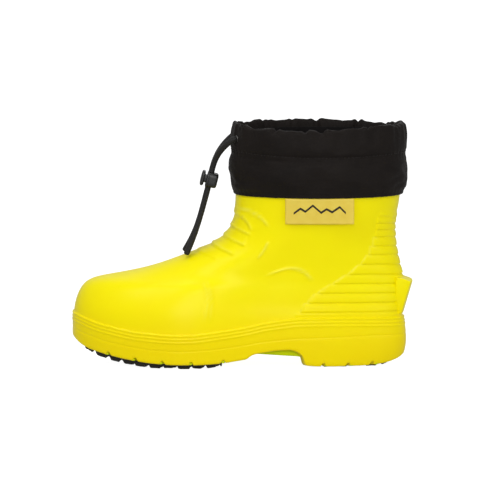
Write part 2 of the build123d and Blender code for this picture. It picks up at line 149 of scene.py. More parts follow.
def between(low, high, steps):
    """Evenly spaced rows from low up to high, without low itself."""
    return [low + (high - low) * t for t in np.linspace(0, 1, steps + 1)[1:]]


# Meshes -----------------------------------------------------------------------------------------
def add_mesh(name, points, faces, uvs=None):
    mesh = bpy.data.meshes.new(name)
    mesh.from_pydata([tuple(p) for p in points], [], [tuple(f) for f in faces])
    if uvs is not None:
        layer = mesh.uv_layers.new(name="UVMap")
        layer.data.foreach_set("uv", np.asarray(uvs, np.float32).ravel())
    mesh.polygons.foreach_set("use_smooth", np.ones(len(mesh.polygons), bool))
    mesh.update()
    piece = bpy.data.objects.new(name, mesh)
    bpy.context.scene.collection.objects.link(piece)
    return piece


def outward(piece, weld=2e-6):
    """Joins points that lie on each other and turns all faces outwards."""
    work = bmesh.new()
    work.from_mesh(piece.data)
    bmesh.ops.remove_doubles(work, verts=work.verts, dist=weld)
    bmesh.ops.dissolve_degenerate(work, edges=work.edges, dist=weld)
    bmesh.ops.recalc_face_normals(work, faces=work.faces)
    work.to_mesh(piece.data)
    work.free()
    piece.data.update()
    return piece


def sheet(name, points, wrap_rows=False):
    """A quad mesh over points[row, column] whose columns wrap round, with UVs in metres."""
    rows, columns = points.shape[:2]
    r = np.arange(rows if wrap_rows else rows - 1)
    rr, cc = np.meshgrid(r, np.arange(columns), indexing="ij")
    r2, c2 = (rr + 1) % rows, (cc + 1) % columns
    corners = ((rr, cc), (rr, c2), (r2, c2), (r2, cc))
    faces = np.stack([a * columns + b for a, b in corners], axis=-1).reshape(-1, 4)
    step_u = np.linalg.norm(np.roll(points, -1, 1) - points, axis=2).mean(0)
    step_v = np.linalg.norm(np.roll(points, -1, 0) - points, axis=2).mean(1)
    u = np.concatenate([[0], np.cumsum(step_u)])
    v = np.concatenate([[0], np.cumsum(step_v)])
    uv_corners = ((rr, cc), (rr, cc + 1), (rr + 1, cc + 1), (rr + 1, cc))
    uvs = np.stack([np.stack([u[b], v[a]], -1) for a, b in uv_corners], axis=2).reshape(-1, 2)
    return add_mesh(name, points.reshape(-1, 3), faces, uvs)


def grid_normals(points):
    """Normals of a sheet whose columns wrap round it; they point out of a ring of columns."""
    along = np.roll(points, -1, 1) - np.roll(points, 1, 1)
    up = np.gradient(points, axis=0)
    normal = np.cross(along, up)
    length = np.linalg.norm(normal, axis=2, keepdims=True)
    return normal / np.maximum(length, 1e-12)


def tube(name, path, radii, sides, relief=None):
    """A round cord along path[i], with rounded ends where the radii fall to nothing."""
    path = np.asarray(path, float)
    tangents = np.gradient(path, axis=0)
    tangents /= np.linalg.norm(tangents, axis=1, keepdims=True)
    side = np.cross(tangents[0], (0.13, 0.97, 0.2))
    frames = []
    for tangent in tangents:
        side = side - tangent * (side @ tangent)
        side /= np.linalg.norm(side)
        frames.append((side, np.cross(tangent, side)))
    first = np.array([f[0] for f in frames])
    second = np.array([f[1] for f in frames])
    angles = round_turn(sides)
    lengths = lengths_along(path)
    radius = np.broadcast_to(np.asarray(radii, float), (len(path),))[:, None] * np.ones(sides)
    if relief is not None:
        radius = radius + relief(angles[None, :], lengths[:, None])
    ring = np.cos(angles)[None, :, None] * first[:, None] + np.sin(angles)[None, :, None] * second[:, None]
    return sheet(name, path[:, None] + ring * radius[:, :, None])


def bezier(a, b, c, d, count):
    t = np.linspace(0, 1, count)[:, None]
    a, b, c, d = (np.asarray(p, float) for p in (a, b, c, d))
    return a * (1 - t) ** 3 + 3 * b * t * (1 - t) ** 2 + 3 * c * t ** 2 * (1 - t) + d * t ** 3


def resample(path, step):
    path = np.asarray(path, float)
    lengths = lengths_along(path)
    at = np.linspace(0, lengths[-1], max(int(lengths[-1] / step), 2))
    return np.stack([np.interp(at, lengths, path[:, k]) for k in range(3)], axis=1)


def join(name, pieces):
    """Joins meshes into one piece."""
    bpy.ops.object.select_all(action="DESELECT")
    for piece in pieces:
        piece.select_set(True)
    bpy.context.view_layer.objects.active = pieces[0]
    bpy.ops.object.join()
    pieces[0].name = name
    return pieces[0]


def rounded_block(name, centre, axes, halves, power=4.0, power_across=None):
    """A block with rounded edges: centre, three unit axes and half its size along each."""
    rows, columns = 29, 56
    up = np.linspace(-math.pi / 2, math.pi / 2, rows)[:, None]
    turn = round_turn(columns)[None, :]
    ways = [np.cos(up) * np.cos(turn), np.cos(up) * np.sin(turn), np.sin(up) + 0 * turn]
    across = power_across or power
    flat = (np.abs(ways[0]) ** across + np.abs(ways[1]) ** across) ** (power / across)
    reach = (flat + np.abs(ways[2]) ** power) ** (-1 / power)
    offsets = [(way * reach * half)[..., None] * np.array(axis, float)
               for way, axis, half in zip(ways, axes, halves)]
    return outward(sheet(name, np.array(centre, float) + sum(offsets)))


def apply_modifiers(piece):
    bpy.ops.object.select_all(action="DESELECT")
    piece.select_set(True)
    bpy.context.view_layer.objects.active = piece
    for modifier in list(piece.modifiers):
        bpy.ops.object.modifier_apply(modifier=modifier.name)


def dress(piece, body, material, material_slot, *nodes):
    """Gives a piece its material and its body, and hides the CAD nodes it stands for."""
    piece.data.materials.clear()
    piece.data.materials.append(material)
    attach(piece, body)
    if nodes:
        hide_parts(*nodes)
    return piece


# Materials --------------------------------------------------------------------------------------
class Shader:
    """A short way to write a node material round one Principled BSDF."""

    def __init__(self, name):
        self.material = bpy.data.materials.new(name)
        self.material.use_nodes = True
        self.tree = self.material.node_tree
        self.surface = self.tree.nodes["Principled BSDF"]

    def node(self, kind, inputs=None, **settings):
        made = self.tree.nodes.new(kind)
        for key, value in settings.items():
            setattr(made, key, value)
        for key, value in (inputs or {}).items():
            self.link(value, made.inputs[key])
        return made

    def link(self, value, socket):
        if isinstance(value, bpy.types.NodeSocket):
            self.tree.links.new(value, socket)
        else:
            socket.default_value = value

    def set(self, **inputs):
        for key, value in inputs.items():
            self.link(value, self.surface.inputs[key.replace("_", " ")])

    def where(self, kind="Object"):
        return self.node("ShaderNodeTexCoord").outputs[kind]

    def noise(self, vector, scale, detail=3.0, rough=0.55):
        made = self.node("ShaderNodeTexNoise", {"Vector": vector, "Scale": scale, "Detail": detail,
                                                "Roughness": rough})
        return made.outputs["Fac"]

    def math(self, operation, a, b=0.0, clamp=False):
        made = self.node("ShaderNodeMath", {0: a, 1: b}, operation=operation, use_clamp=clamp)
        return made.outputs[0]

    def ramp(self, value, low, high, to_low=0.0, to_high=1.0):
        made = self.node("ShaderNodeMapRange", {"Value": value, "From Min": low, "From Max": high,
                                                "To Min": to_low, "To Max": to_high})
        return made.outputs["Result"]

    def mix(self, share, a, b):
        made = self.node("ShaderNodeMix", data_type="RGBA")
        self.link(share, made.inputs[0])
        self.link(a, made.inputs[6])
        self.link(b, made.inputs[7])
        return made.outputs[2]

    def bump(self, height, strength, distance, normal=None):
        inputs = {"Height": height, "Strength": strength, "Distance": distance}
        if normal is not None:
            inputs["Normal"] = normal
        return self.node("ShaderNodeBump", inputs).outputs["Normal"]

    def split(self, vector):
        return self.node("ShaderNodeSeparateXYZ", {"Vector": vector}).outputs


def colour(red, green, blue):
    """Linear colour of an sRGB one given in 0 to 255."""
    linear = []
    for part in (red, green, blue):
        c = part / 255
        linear.append(c / 12.92 if c <= 0.04045 else ((c + 0.055) / 1.055) ** 2.4)
    return (*linear, 1.0)


HIGHLIGHT_LAYER = "painted_highlight"      # mesh attribute: share of painted highlight, 1 on the crest of a moulded line, 0 elsewhere


def foam_material(name, main, deep, pale, gloss=0.3):
    """Moulded closed-cell foam: a soft sheen, a fine skin grain, a deeper colour low down that is painted
    shade, and painted highlights along the crest of each moulded line.
    """
    s = Shader(name)
    where = s.where()
    clouds = s.noise(where, 26, 3)
    skin = s.noise(where, 1500, 2)
    pores = s.noise(where, 420, 4, 0.6)
    height = s.split(where)[2]
    # painted shade: low down the colour turns to the deeper one, and random clouds also mix in a little of it
    low = s.ramp(height, 0.02, 0.075, 0.85, 0.0)
    share = s.math("ADD", low, s.ramp(clouds, 0.3, 0.75, 0.0, 0.25), clamp=True)
    base = s.mix(share, main, deep)
    base = s.mix(s.ramp(pores, 0.62, 0.8, 0, 0.12), base, pale)
    # painted highlight: the crest of each moulded line is painted a paler yellow, standing in for the light
    # it catches
    lines = s.node("ShaderNodeAttribute", attribute_name=HIGHLIGHT_LAYER).outputs["Fac"]
    base = s.mix(s.math("MULTIPLY", lines, 0.5, clamp=True), base, colour(255, 250, 90))
    rough = s.ramp(s.math("ADD", clouds, s.math("MULTIPLY", skin, 0.4)), 0.4, 0.9, gloss - 0.04, gloss + 0.06)
    normal = s.bump(skin, 0.08, 0.0001)
    normal = s.bump(pores, 0.06, 0.0003, normal)
    s.set(Base_Color=base, Roughness=rough, Normal=normal, Specular_IOR_Level=0.12)
    s.set(Subsurface_Weight=0.05, Subsurface_Radius=(0.6, 0.45, 0.02), Subsurface_Scale=0.002)
    return s.material


def weave_height(s, pitch):
    """Height of a plain weave over UVs in metres, with its threads this far apart."""
    u, v, _ = s.split(s.where("UV"))
    turn = math.pi / pitch
    across = s.math("SINE", s.math("MULTIPLY", u, turn))
    along = s.math("SINE", s.math("MULTIPLY", v, turn))
    return s.math("ABSOLUTE", s.math("MULTIPLY", across, along))


def cloth_material(name, main, deep, pitch=0.00055, rough=0.62, sheen=0.25):
    """Woven nylon: a plain weave, a faint sheen at glancing angles, slightly uneven dye, and a painted
    highlight on the raised threads.
    """
    s = Shader(name)
    where = s.where()
    clouds = s.noise(where, 45, 3)
    lint = s.noise(where, 900, 2)
    weave = weave_height(s, pitch)
    base = s.mix(s.ramp(clouds, 0.3, 0.7), main, deep)
    # painted highlight: the raised threads of the weave are painted lighter
    base = s.mix(s.math("MULTIPLY", weave, 0.35), base, tuple(min(c * 1.7, 1) for c in main[:3]) + (1,))
    normal = s.bump(weave, 0.35, 0.00012)
    normal = s.bump(lint, 0.15, 0.0001, normal)
    s.set(Base_Color=base, Roughness=s.ramp(lint, 0.3, 0.7, rough - 0.06, rough + 0.08), Normal=normal)
    s.set(Sheen_Weight=sheen, Sheen_Roughness=0.45, Sheen_Tint=(0.75, 0.72, 0.72, 1))
    s.set(Specular_IOR_Level=0.12)
    return s.material


def cord_material():
    """Braided cord: two sets of strands crossing on the slant, with painted shade in the grooves between the
    strands.
    """
    s = Shader("braided_cord")
    u, v, _ = s.split(s.where("UV"))
    turn = math.pi / 0.0016
    one = s.math("SINE", s.math("MULTIPLY", s.math("ADD", u, v), turn))
    two = s.math("SINE", s.math("MULTIPLY", s.math("SUBTRACT", u, v), turn))
    braid = s.math("ABSOLUTE", s.math("MULTIPLY", one, two))
    fuzz = s.noise(s.where(), 2500, 2)
    # painted shade: the colour follows the braid's relief, dark in its grooves and lighter on the strands'
    # tops
    base = s.mix(braid, colour(14, 13, 13), colour(44, 42, 40))
    normal = s.bump(braid, 0.5, 0.0003)
    normal = s.bump(fuzz, 0.3, 0.0001, normal)
    s.set(Base_Color=base, Roughness=s.ramp(fuzz, 0.3, 0.7, 0.55, 0.75), Normal=normal)
    s.set(Sheen_Weight=0.08, Sheen_Roughness=0.4, Specular_IOR_Level=0.3)
    return s.material


def rubber_material(name, main, pale):
    s = Shader(name)
    where = s.where()
    grain = s.noise(where, 1100, 3)
    dust = s.noise(where, 60, 4, 0.65)
    base = s.mix(s.ramp(dust, 0.45, 0.75, 0, 0.55), main, pale)
    s.set(Base_Color=base, Roughness=s.ramp(grain, 0.3, 0.7, 0.5, 0.72), Normal=s.bump(grain, 0.3, 0.0002))
    s.set(Specular_IOR_Level=0.4)
    return s.material


def plastic_material():
    s = Shader("lock_plastic")
    where = s.where()
    grain = s.noise(where, 1800, 2)
    wear = s.noise(where, 250, 4, 0.7)
    base = s.mix(s.ramp(wear, 0.5, 0.8, 0, 0.5), colour(16, 15, 14), colour(34, 32, 29))
    s.set(Base_Color=base, Roughness=s.ramp(wear, 0.3, 0.7, 0.28, 0.44), Normal=s.bump(grain, 0.12, 0.0001))
    return s.material


def metal_material(name, main, rough=0.3):
    s = Shader(name)
    where = s.where()
    brushed = s.node("ShaderNodeMapping", {"Vector": where, "Scale": (900.0, 900.0, 90.0)}).outputs[0]
    lines = s.noise(brushed, 1.0, 3)
    spots = s.noise(where, 500, 3)
    base = s.mix(s.ramp(spots, 0.4, 0.75, 0, 0.6), main, tuple(c * 0.55 for c in main[:3]) + (1,))
    s.set(Base_Color=base, Metallic=1.0, Roughness=s.ramp(lines, 0.3, 0.7, rough - 0.08, rough + 0.12))
    s.set(Normal=s.bump(lines, 0.1, 0.00005))
    return s.material


def label_material():
    """Soft translucent film, slightly clouded."""
    s = Shader("label_film")
    where = s.where()
    clouds = s.noise(where, 120, 3)
    grain = s.noise(where, 1600, 2)
    base = s.mix(s.ramp(clouds, 0.3, 0.7), colour(247, 220, 88), colour(242, 212, 74))
    s.set(Base_Color=base, Roughness=s.ramp(grain, 0.3, 0.7, 0.3, 0.42), Normal=s.bump(grain, 0.08, 0.0001))
    s.set(Transmission_Weight=0.15, IOR=1.42)
    return s.material


def fleece_material():
    s = Shader("pile_fleece")
    where = s.where()
    pile = s.noise(where, 1300, 4, 0.7)
    clumps = s.noise(where, 240, 3)
    base = s.mix(pile, colour(26, 26, 28), colour(66, 65, 68))
    normal = s.bump(pile, 0.9, 0.0006)
    normal = s.bump(clumps, 0.6, 0.0012, normal)
    s.set(Base_Color=base, Roughness=0.9, Normal=normal, Sheen_Weight=0.7, Sheen_Roughness=0.6)
    return s.material


def felt_material():
    s = Shader("insole_felt")
    fibres = s.noise(s.where(), 1700, 4, 0.75)
    flecks = s.noise(s.where(), 420, 2)
    base = s.mix(fibres, colour(62, 62, 64), colour(98, 98, 100))
    base = s.mix(s.ramp(flecks, 0.6, 0.72, 0, 0.5), base, colour(140, 140, 142))
    s.set(Base_Color=base, Roughness=0.92, Normal=s.bump(fibres, 0.7, 0.0004), Sheen_Weight=0.4)
    return s.material


# each foam's second colour is painted shade, used low down and in random clouds
YELLOW = foam_material("yellow_foam", colour(254, 241, 0), colour(251, 226, 0), colour(254, 243, 4))
LIME = foam_material("lime_foam", colour(214, 232, 0), colour(208, 226, 0), colour(222, 236, 20), 0.5)
TREAD = rubber_material("tread_rubber", colour(28, 24, 20), colour(48, 44, 40))
NYLON = cloth_material("collar_nylon", colour(23, 18, 15), colour(16, 12, 10), sheen=0.03)
LINING = cloth_material("lining_nylon", colour(15, 12, 12), colour(9, 8, 8), 0.0006, 0.7, 0.03)
LINER = cloth_material("liner_cloth", colour(30, 30, 32), colour(22, 22, 24), 0.0009, 0.8, 0.3)
TAPE = cloth_material("binding_tape", colour(26, 26, 27), colour(20, 20, 21), 0.0007, 0.7, 0.3)
THREAD = cloth_material("stitch_thread", colour(34, 29, 27), colour(26, 22, 20), 0.0003, 0.6, 0.15)
CORD = cord_material()
PLASTIC = plastic_material()
EYELET = metal_material("eyelet_metal", (0.15, 0.145, 0.14, 1), 0.22)
STEEL = metal_material("spring_steel", (0.55, 0.55, 0.56, 1), 0.25)
FILM = label_material()
FLEECE = fleece_material()
FELT = felt_material()
PRINT = rubber_material("label_print", colour(34, 26, 16), colour(52, 42, 30))


# The boot's form --------------------------------------------------------------------------------
# Each ring: front point and back point (mm behind the toe, mm above the ground), half-widths at the
# ball, the waist and the heel, the exponent of the rounded ends and how far the front leans inwards.
RINGS = [
    (6, -4, 298, -4, 57, 41, 40, 2.7, 8),
    (1, 16, 304.5, 14, 59, 43, 42.5, 2.7, 8),
    (0, 32, 305.4, 30, 60, 44, 43, 2.7, 8),
    (0.4, 48, 303.5, 45, 59, 44, 42.5, 2.7, 8),
    (2.5, 60, 302.5, 55, 57, 43, 41, 2.6, 8),
    (7.5, 71, 303.2, 64, 54, 42.5, 40.5, 2.5, 8),
    (17, 78.5, 303.6, 72, 50.5, 42, 40, 2.4, 7),
    (33, 82.4, 303.4, 79, 47, 41.5, 39.8, 2.3, 6),
    (55, 86.6, 302, 86.5, 45, 41.2, 39.6, 2.3, 5),
    (77, 92.3, 300, 94.5, 44.5, 41.2, 39.6, 2.3, 4),
    (98, 99.8, 298.3, 102.5, 44.5, 41.8, 40, 2.3, 3),
    (117, 107.3, 296.8, 111, 45, 42.6, 40.6, 2.25, 2),
    (132, 114.6, 296, 121, 46, 44, 42, 2.2, 1),
    (142.5, 124.6, 295.9, 131, 47.5, 46, 44.5, 2.2, 0.5),
    (147.8, 138, 298.2, 142, 49.5, 49, 47.5, 2.2, 0),
    (148.9, 157, 300.6, 157, 51.5, 51.5, 50.5, 2.2, 0),
    (149, 176, 300.8, 176, 52, 52, 51.5, 2.2, 0),
    (149, 200, 300, 200, 52, 52, 52, 2.2, 0),
]
FRONT_X, FRONT_Z, REAR_X, REAR_Z, BALL, WAIST, HEEL, SQUARE, LEAN = [cubic(c) for c in zip(*RINGS)]
BALL_AT, WAIST_AT, HEEL_AT = 0.28, 0.6, 0.86
SHELL_TOP_LEVEL = 16


def form_points(angle, level, inset=0.0):
    """Points of the boot's form. angle runs round it from the front, level up through the rings."""
    def profile_shift(fx, fz, side):
        step = 0.05
        dx = fx(level + step) - fx(level - step)
        dz = fz(level + step) - fz(level - step)
        length = np.hypot(dx, dz)
        return side * inset * dz / length, -side * inset * dx / length

    level = np.clip(level, 0.1, len(RINGS) - 1.1)
    s = (1 - np.cos(angle)) / 2
    front_dx, front_dz = profile_shift(FRONT_X, FRONT_Z, 1)
    rear_dx, rear_dz = profile_shift(REAR_X, REAR_Z, -1)
    front_x, front_z = FRONT_X(level) + front_dx, FRONT_Z(level) + front_dz
    rear_x, rear_z = REAR_X(level) + rear_dx, REAR_Z(level) + rear_dz
    ball, waist, heel, square = BALL(level), WAIST(level), HEEL(level), SQUARE(level)

    def ease(a, b, low, high):
        t = np.clip((s - low) / (high - low), 0, 1)
        return a + (b - a) * (1 - np.cos(math.pi * t)) / 2

    half = np.where(s < WAIST_AT, ease(ball, waist, BALL_AT, WAIST_AT), ease(waist, heel, WAIST_AT, HEEL_AT))
    end = (1 - np.abs(np.cos(angle)) ** square) ** (1 / square)
    y = -np.sign(np.sin(angle)) * (half - inset) * end + LEAN(level) * (1 - s) ** 2
    x = toe(front_x + (rear_x - front_x) * s)
    z = (front_z + (rear_z - front_z) * s) * MM
    return np.stack([x, y * MM, z], axis=-1)


def level_at_height(angle, height, inset=0.0):
    """The level at which each column of the form reaches a height."""
    levels = np.linspace(0.1, SHELL_TOP_LEVEL + 0.9, 240)
    found = np.empty(np.broadcast(angle, height).shape)
    height = np.broadcast_to(height, found.shape)
    heights = form_points(angle[None, :], levels[:, None], inset)[..., 2]
    for column in range(heights.shape[1]):
        found[..., column] = np.interp(height[..., column], heights[:, column], levels)
    return found


# Lines on the side of the boot, (mm behind the toe, mm above the ground)
LOWER_EDGE = [(-9, 36), (1, 25.5), (7, 20.5), (14, 17), (30, 12.6), (47, 9), (68, 5.9), (88, 4.5),
              (115, 4.3), (138, 5.4), (160, 8.7), (162.6, 11), (165.6, 12.9), (171, 14.1), (187, 16.7),
              (199, 17.3), (205.5, 15.8), (210.0, 12.8), (212.6, 10.2), (213.8, 4.4), (216.6, 2.5),
              (225, 1.8), (243, 1.5), (273, 2), (285, 2.8), (293, 4.2), (299.5, 6.2), (303.5, 8.4), (306, 11)]
PARTING = [(0, 35), (5, 33), (33, 24.5), (66, 18.8), (99, 16.8), (133, 18.8), (163, 22.7), (175, 25.2),
           (206, 27.9), (248, 28.9), (280, 30), (305, 29)]
FOXING = [(1, 48.9), (22, 41.5), (55, 34.6), (88, 31.9), (110, 31.9), (144, 36), (163, 38.9), (175, 42),
          (205, 46.0), (248, 46.3), (302, 44.7)]
NOTCHES = [32, 56, 81, 108, 138, 232.5, 255.7, 278]
NOTCH_DEPTH, NOTCH_HALF = 2.8, 2.1

# Left ends of the heel's ribs, from the top one down
RIB_ENDS = [(279.5, 138.6), (278.6, 132.6), (278.2, 126.5), (277.2, 119.9), (275.4, 111.7), (272.1, 103.7),
            (264.6, 95.0), (252.9, 85.9), (238.9, 77.5), (225.3, 69.0), (215.7, 60.2), (209.2, 51.8)]
RIB_DROP_TOP, RIB_DROP_BOTTOM = 3.6, 1.0     # how far the ribs dip towards the back
RIB_BACK = 300
RIB_DEPTH = 1.25 * MM
RIB_STEP = 3.0 * MM                          # the next rib up starts this far behind the end of one's slant
# Share of the full depth by the share of the way up a rib
RIB_PROFILE = [(0, 0), (0.05, 0.6), (0.11, 0.95), (0.18, 1), (0.55, 0.95), (0.85, 0.62), (1, 0)]
TOP_RIB_PROFILE = [(0, 0), (0.06, 0.6), (0.14, 0.95), (0.3, 1), (1, 0)]
RIB_ROWS = (0.05, 0.11, 0.18, 0.36, 0.55, 0.72, 0.86, 1.0)

COLUMNS = 480
SOLE_LENGTH = 305.4                          # mm
ARCH_STEPS = (161, 208.5)                    # mm behind the toe, where the lower edge steps up at the arch
WALL_TOP = 1.8 * MM                          # the sole wall's rows end this far above the foxing line
BAND_SHIFTS = (-1.9, 1.9)                    # mm, the two lines of the band at the ball lie this far apart


def lower_edge(x):
    """Height of the lower edge, with its notches."""
    z = soft_line_height(LOWER_EDGE, x, 1.6 * MM)
    for notch in NOTCHES:
        away = (x - toe(notch)) / (NOTCH_HALF * MM)
        z = z + NOTCH_DEPTH * MM * np.clip(1 - away ** 4, 0, 1) ** 0.7
    return z


def rib_height(index, x):
    """Height of a rib's lower crease at x."""
    left, z = RIB_ENDS[index]
    drop = RIB_DROP_TOP + (RIB_DROP_BOTTOM - RIB_DROP_TOP) * index / (len(RIB_ENDS) - 1)
    t = np.clip((x - toe(left)) / (toe(RIB_BACK) - toe(left)), 0, 1)
    return (z - drop * t ** 2) * MM


def column_angles():
    """Angles of the columns, closer together where the lower edge has notches or steps."""
    s = np.linspace(0, 1, 4000)
    x_mm = s * SOLE_LENGTH
    density = 0.35 + 0.65 / np.sqrt(np.clip(1 - (2 * s - 1) ** 2, 0.012, 1))
    for notch in NOTCHES:
        density += 1.6 * np.exp(-((x_mm - notch) / 2.6) ** 2)
    for step in ARCH_STEPS:
        density += 1.2 * np.exp(-((x_mm - step) / 4.0) ** 2)
    share = np.cumsum(density)
    share = (share - share[0]) / (share[-1] - share[0])
    half = COLUMNS // 2
    s_at = np.interp(np.linspace(0, 1, half + 1), share, s)
    angles = np.arccos(np.clip(1 - 2 * s_at, -1, 1))
    return np.concatenate([angles, 2 * math.pi - angles[1:-1][::-1]])


def wall_rows(x):
    """Heights of the rows of the sole wall, from its lower edge to just above the foxing."""
    edge, parting, foxing = lower_edge(x), soft_line_height(PARTING, x), soft_line_height(FOXING, x)
    rows = [edge + d * MM for d in (0.0, 0.5, 1.2)]
    rows += between(rows[-1], parting - 1.2 * MM, 9)
    rows += [parting + d * MM for d in (-0.6, 0.0, 0.6, 1.2)]
    rows += between(rows[-1], foxing - 8.2 * MM, 5)
    rows += [foxing + d * MM for d in np.linspace(-7.7, 1.8, 22)]
    return np.array(rows)


def upper_levels(angle, x, start_level):
    """Levels of the rows of the upper: along the ribs at the heel, evenly over the vamp and shaft."""
    foxing = soft_line_height(FOXING, x) + WALL_TOP
    marks = [foxing] + [rib_height(i, x) for i in range(len(RIB_ENDS) - 1, -1, -1)]
    heights = []
    for low, high in zip(marks, marks[1:]):
        shares = (0.33, 0.67, 1.0) if low is foxing else RIB_ROWS
        heights += [low + (high - low) * t for t in shares]
    top = np.full_like(x, RINGS[SHELL_TOP_LEVEL][3] * MM)
    heights += between(heights[-1], top, 26)
    by_rib = level_at_height(angle, np.array(heights))
    weights = np.repeat([6, 6, 6, 8, 9, 9, 9, 11, 11, 10, 9, 7, 5], 40).astype(float)
    share = np.concatenate([[0], np.cumsum(weights)]) / weights.sum()
    even = np.interp(np.linspace(0, 1, len(heights) + 1)[1:], share, np.linspace(0, 1, len(share)))
    evenly = start_level[None, :] + (SHELL_TOP_LEVEL - start_level[None, :]) * even[:, None]
    at_heel = smooth_step(toe(120), toe(196), x)[None, :]
    return evenly * (1 - at_heel) + by_rib * at_heel


def path_distance(x, z, path):
    """Distance to a side-view path in metres, signed (above is positive), and the place along it."""
    best = np.full(x.shape, 1e9)
    signed = np.zeros(x.shape)
    along = np.zeros(x.shape)
    points = [(float(toe(px)), pz * MM) for px, pz in path]
    total = len(points) - 1
    for i, ((x0, z0), (x1, z1)) in enumerate(zip(points, points[1:])):
        dx, dz = x1 - x0, z1 - z0
        length = math.hypot(dx, dz)
        t = ((x - x0) * dx + (z - z0) * dz) / length ** 2
        clipped = np.clip(t, 0, 1)
        away = np.hypot(x - x0 - clipped * dx, z - z0 - clipped * dz)
        side = np.sign((z - z0) * dx - (x - x0) * dz)
        nearer = away < best
        best = np.where(nearer, away, best)
        signed = np.where(nearer, away * side, signed)
        along = np.where(nearer, (i + clipped) / total, along)
    return signed, along


def rounded_path(path, count=5):
    """Rounds a path of few points by sampling a spline through it."""
    xs, zs = cubic([p[0] for p in path]), cubic([p[1] for p in path])
    t = np.linspace(0, len(path) - 1, count * (len(path) - 1) + 1)
    return list(zip(xs(t), zs(t)))


def ridge(x, z, path, height, width, fade=0.22):
    signed, along = path_distance(x, z, rounded_path(path))
    ends = smooth_step(0, fade, along) * smooth_step(0, fade, 1 - along)
    return height * MM * np.exp(-(signed / (width * MM)) ** 2) * ends


def flex_rib(x, z, path, height=1.5, reach=4.5, fade=0.16):
    """A crease with the moulding swelling out above it."""
    signed, along = path_distance(x, z, rounded_path(path))
    away = np.abs(signed)
    above = np.exp(-away / (reach * MM)) * height
    below = -0.35 * height * np.exp(-away / (1.6 * MM))
    share = smooth_step(-0.7 * MM, 0.7 * MM, signed)
    return MM * (above * share + below * (1 - share)) * smooth_step(0, fade, 1 - along)


FLEX_RIBS = [
    [(149.5, 139.5), (155, 137.2), (160.5, 132), (163.6, 125)],
    [(146.5, 128.2), (155, 124.8), (163.5, 121.6)],
    [(138, 119.6), (148.5, 115.6), (158.3, 112)],
    [(127.5, 112), (138, 107.8), (148.2, 104)],
    [(114, 106.2), (124, 103), (134, 99.2)],
]
ANKLE_LINES = [
    [(148, 146), (160.8, 144.4), (172.3, 138.8), (181, 129.1)],
    [(179.2, 117.9), (175.5, 109.5), (168.8, 100.3)],
    [(175.5, 84.5), (196.2, 92.1), (211.3, 89), (222.2, 79)],
]
BALL_BAND = [(119.5, 87), (123.5, 76), (125.7, 65), (124.5, 51), (123, 38)]


def rib_relief(points):
    """Height of the stacked ribs round the heel: each has a sharp underside and a slanted front end."""
    x, z = points[..., 0], points[..., 2]
    creases = np.array([rib_height(i, x) for i in range(len(RIB_ENDS))])
    relief = np.zeros(x.shape)
    base = soft_line_height(FOXING, x) + WALL_TOP
    for i, (left_mm, _) in enumerate(RIB_ENDS):
        low = creases[i]
        high = creases[i - 1] if i else low + 5.5 * MM
        t = (z - low) / (high - low)
        inside = (t >= -0.001) & (t < 0.999)
        profile = RIB_PROFILE if i else TOP_RIB_PROFILE
        slant = toe(RIB_ENDS[i - 1][0]) - toe(left_mm) - RIB_STEP if i else RIB_STEP
        left = toe(left_mm) + max(slant, 0.5 * MM) * np.clip(t, 0, 1)
        edge = smooth_step(-0.6 * MM, 1.0 * MM, x - left)
        swell = np.interp(t, [p[0] for p in profile], [p[1] for p in profile])
        relief = np.where(inside, RIB_DEPTH * swell * edge, relief)
    t = (z - base) / (creases[-1] - base)
    inside = (t > 0) & (t < 1)
    edge = smooth_step(-1.5 * MM, 1.5 * MM, x - toe(205))
    last = 0.5 * RIB_DEPTH * np.sqrt(np.clip(t * (1 - t) * 4, 0, 1)) * edge
    return np.where(inside, last, relief)


def painted_crest_shares(points):
    """How much painted highlight each point gets on the crest of a moulded line, from 0 to 1."""
    x, z = points[..., 0], points[..., 2]
    highlight_shares = np.zeros(x.shape)
    for path in ANKLE_LINES:
        highlight_shares += ridge(x, z - 0.3 * MM, path, 1.0, 1.0) / MM
    for path in FLEX_RIBS[:4]:
        signed, along = path_distance(x, z, rounded_path(path))
        highlight_shares += 0.6 * np.exp(-((signed - 1.5 * MM) / (0.9 * MM)) ** 2) * smooth_step(0, 0.2, 1 - along)
    for shift in BAND_SHIFTS:
        highlight_shares += 0.35 * ridge(x, z, [(px + shift, pz) for px, pz in BALL_BAND], 1.0, 0.8, 0.3) / MM
    for (left, low), (above, high) in zip(RIB_ENDS[4:], RIB_ENDS[3:]):
        corner = (max(above - RIB_STEP / MM, left), high - 0.4)
        edge = [(left - 0.3, low + 0.8), corner, (above + 1.5, high - 0.6)]
        signed, _ = path_distance(x, z, edge)
        highlight_shares += 0.55 * np.exp(-(signed / (0.7 * MM)) ** 2)
    return np.clip(highlight_shares, 0, 1)


FORM_INSET = 0.5 * MM     # the upper lies this far inside the form, so that the sole wall stands proud of it


def shell_relief(points, foxing):
    """Height of all moulded detail over the form."""
    x, z = points[..., 0], points[..., 2]
    relief = rib_relief(points)
    for path in FLEX_RIBS:
        relief = relief + flex_rib(x, z, path, 1.6 if path is not FLEX_RIBS[-1] else 0.7)
    for path in ANKLE_LINES:
        relief = relief + ridge(x, z, path, 1.25, 1.05)
    for shift in BAND_SHIFTS:
        relief = relief + ridge(x, z, [(px + shift, pz) for px, pz in BALL_BAND], 1.0, 0.95, 0.3)
    down = foxing - z
    wall = smooth_step(-0.9 * MM, 0.1 * MM, down) * MM
    for place in (0.6, 3.7, 6.8):
        wall = wall + 0.55 * MM * np.exp(-((down - place * MM) / (0.85 * MM)) ** 2)
    return relief + wall - FORM_INSET


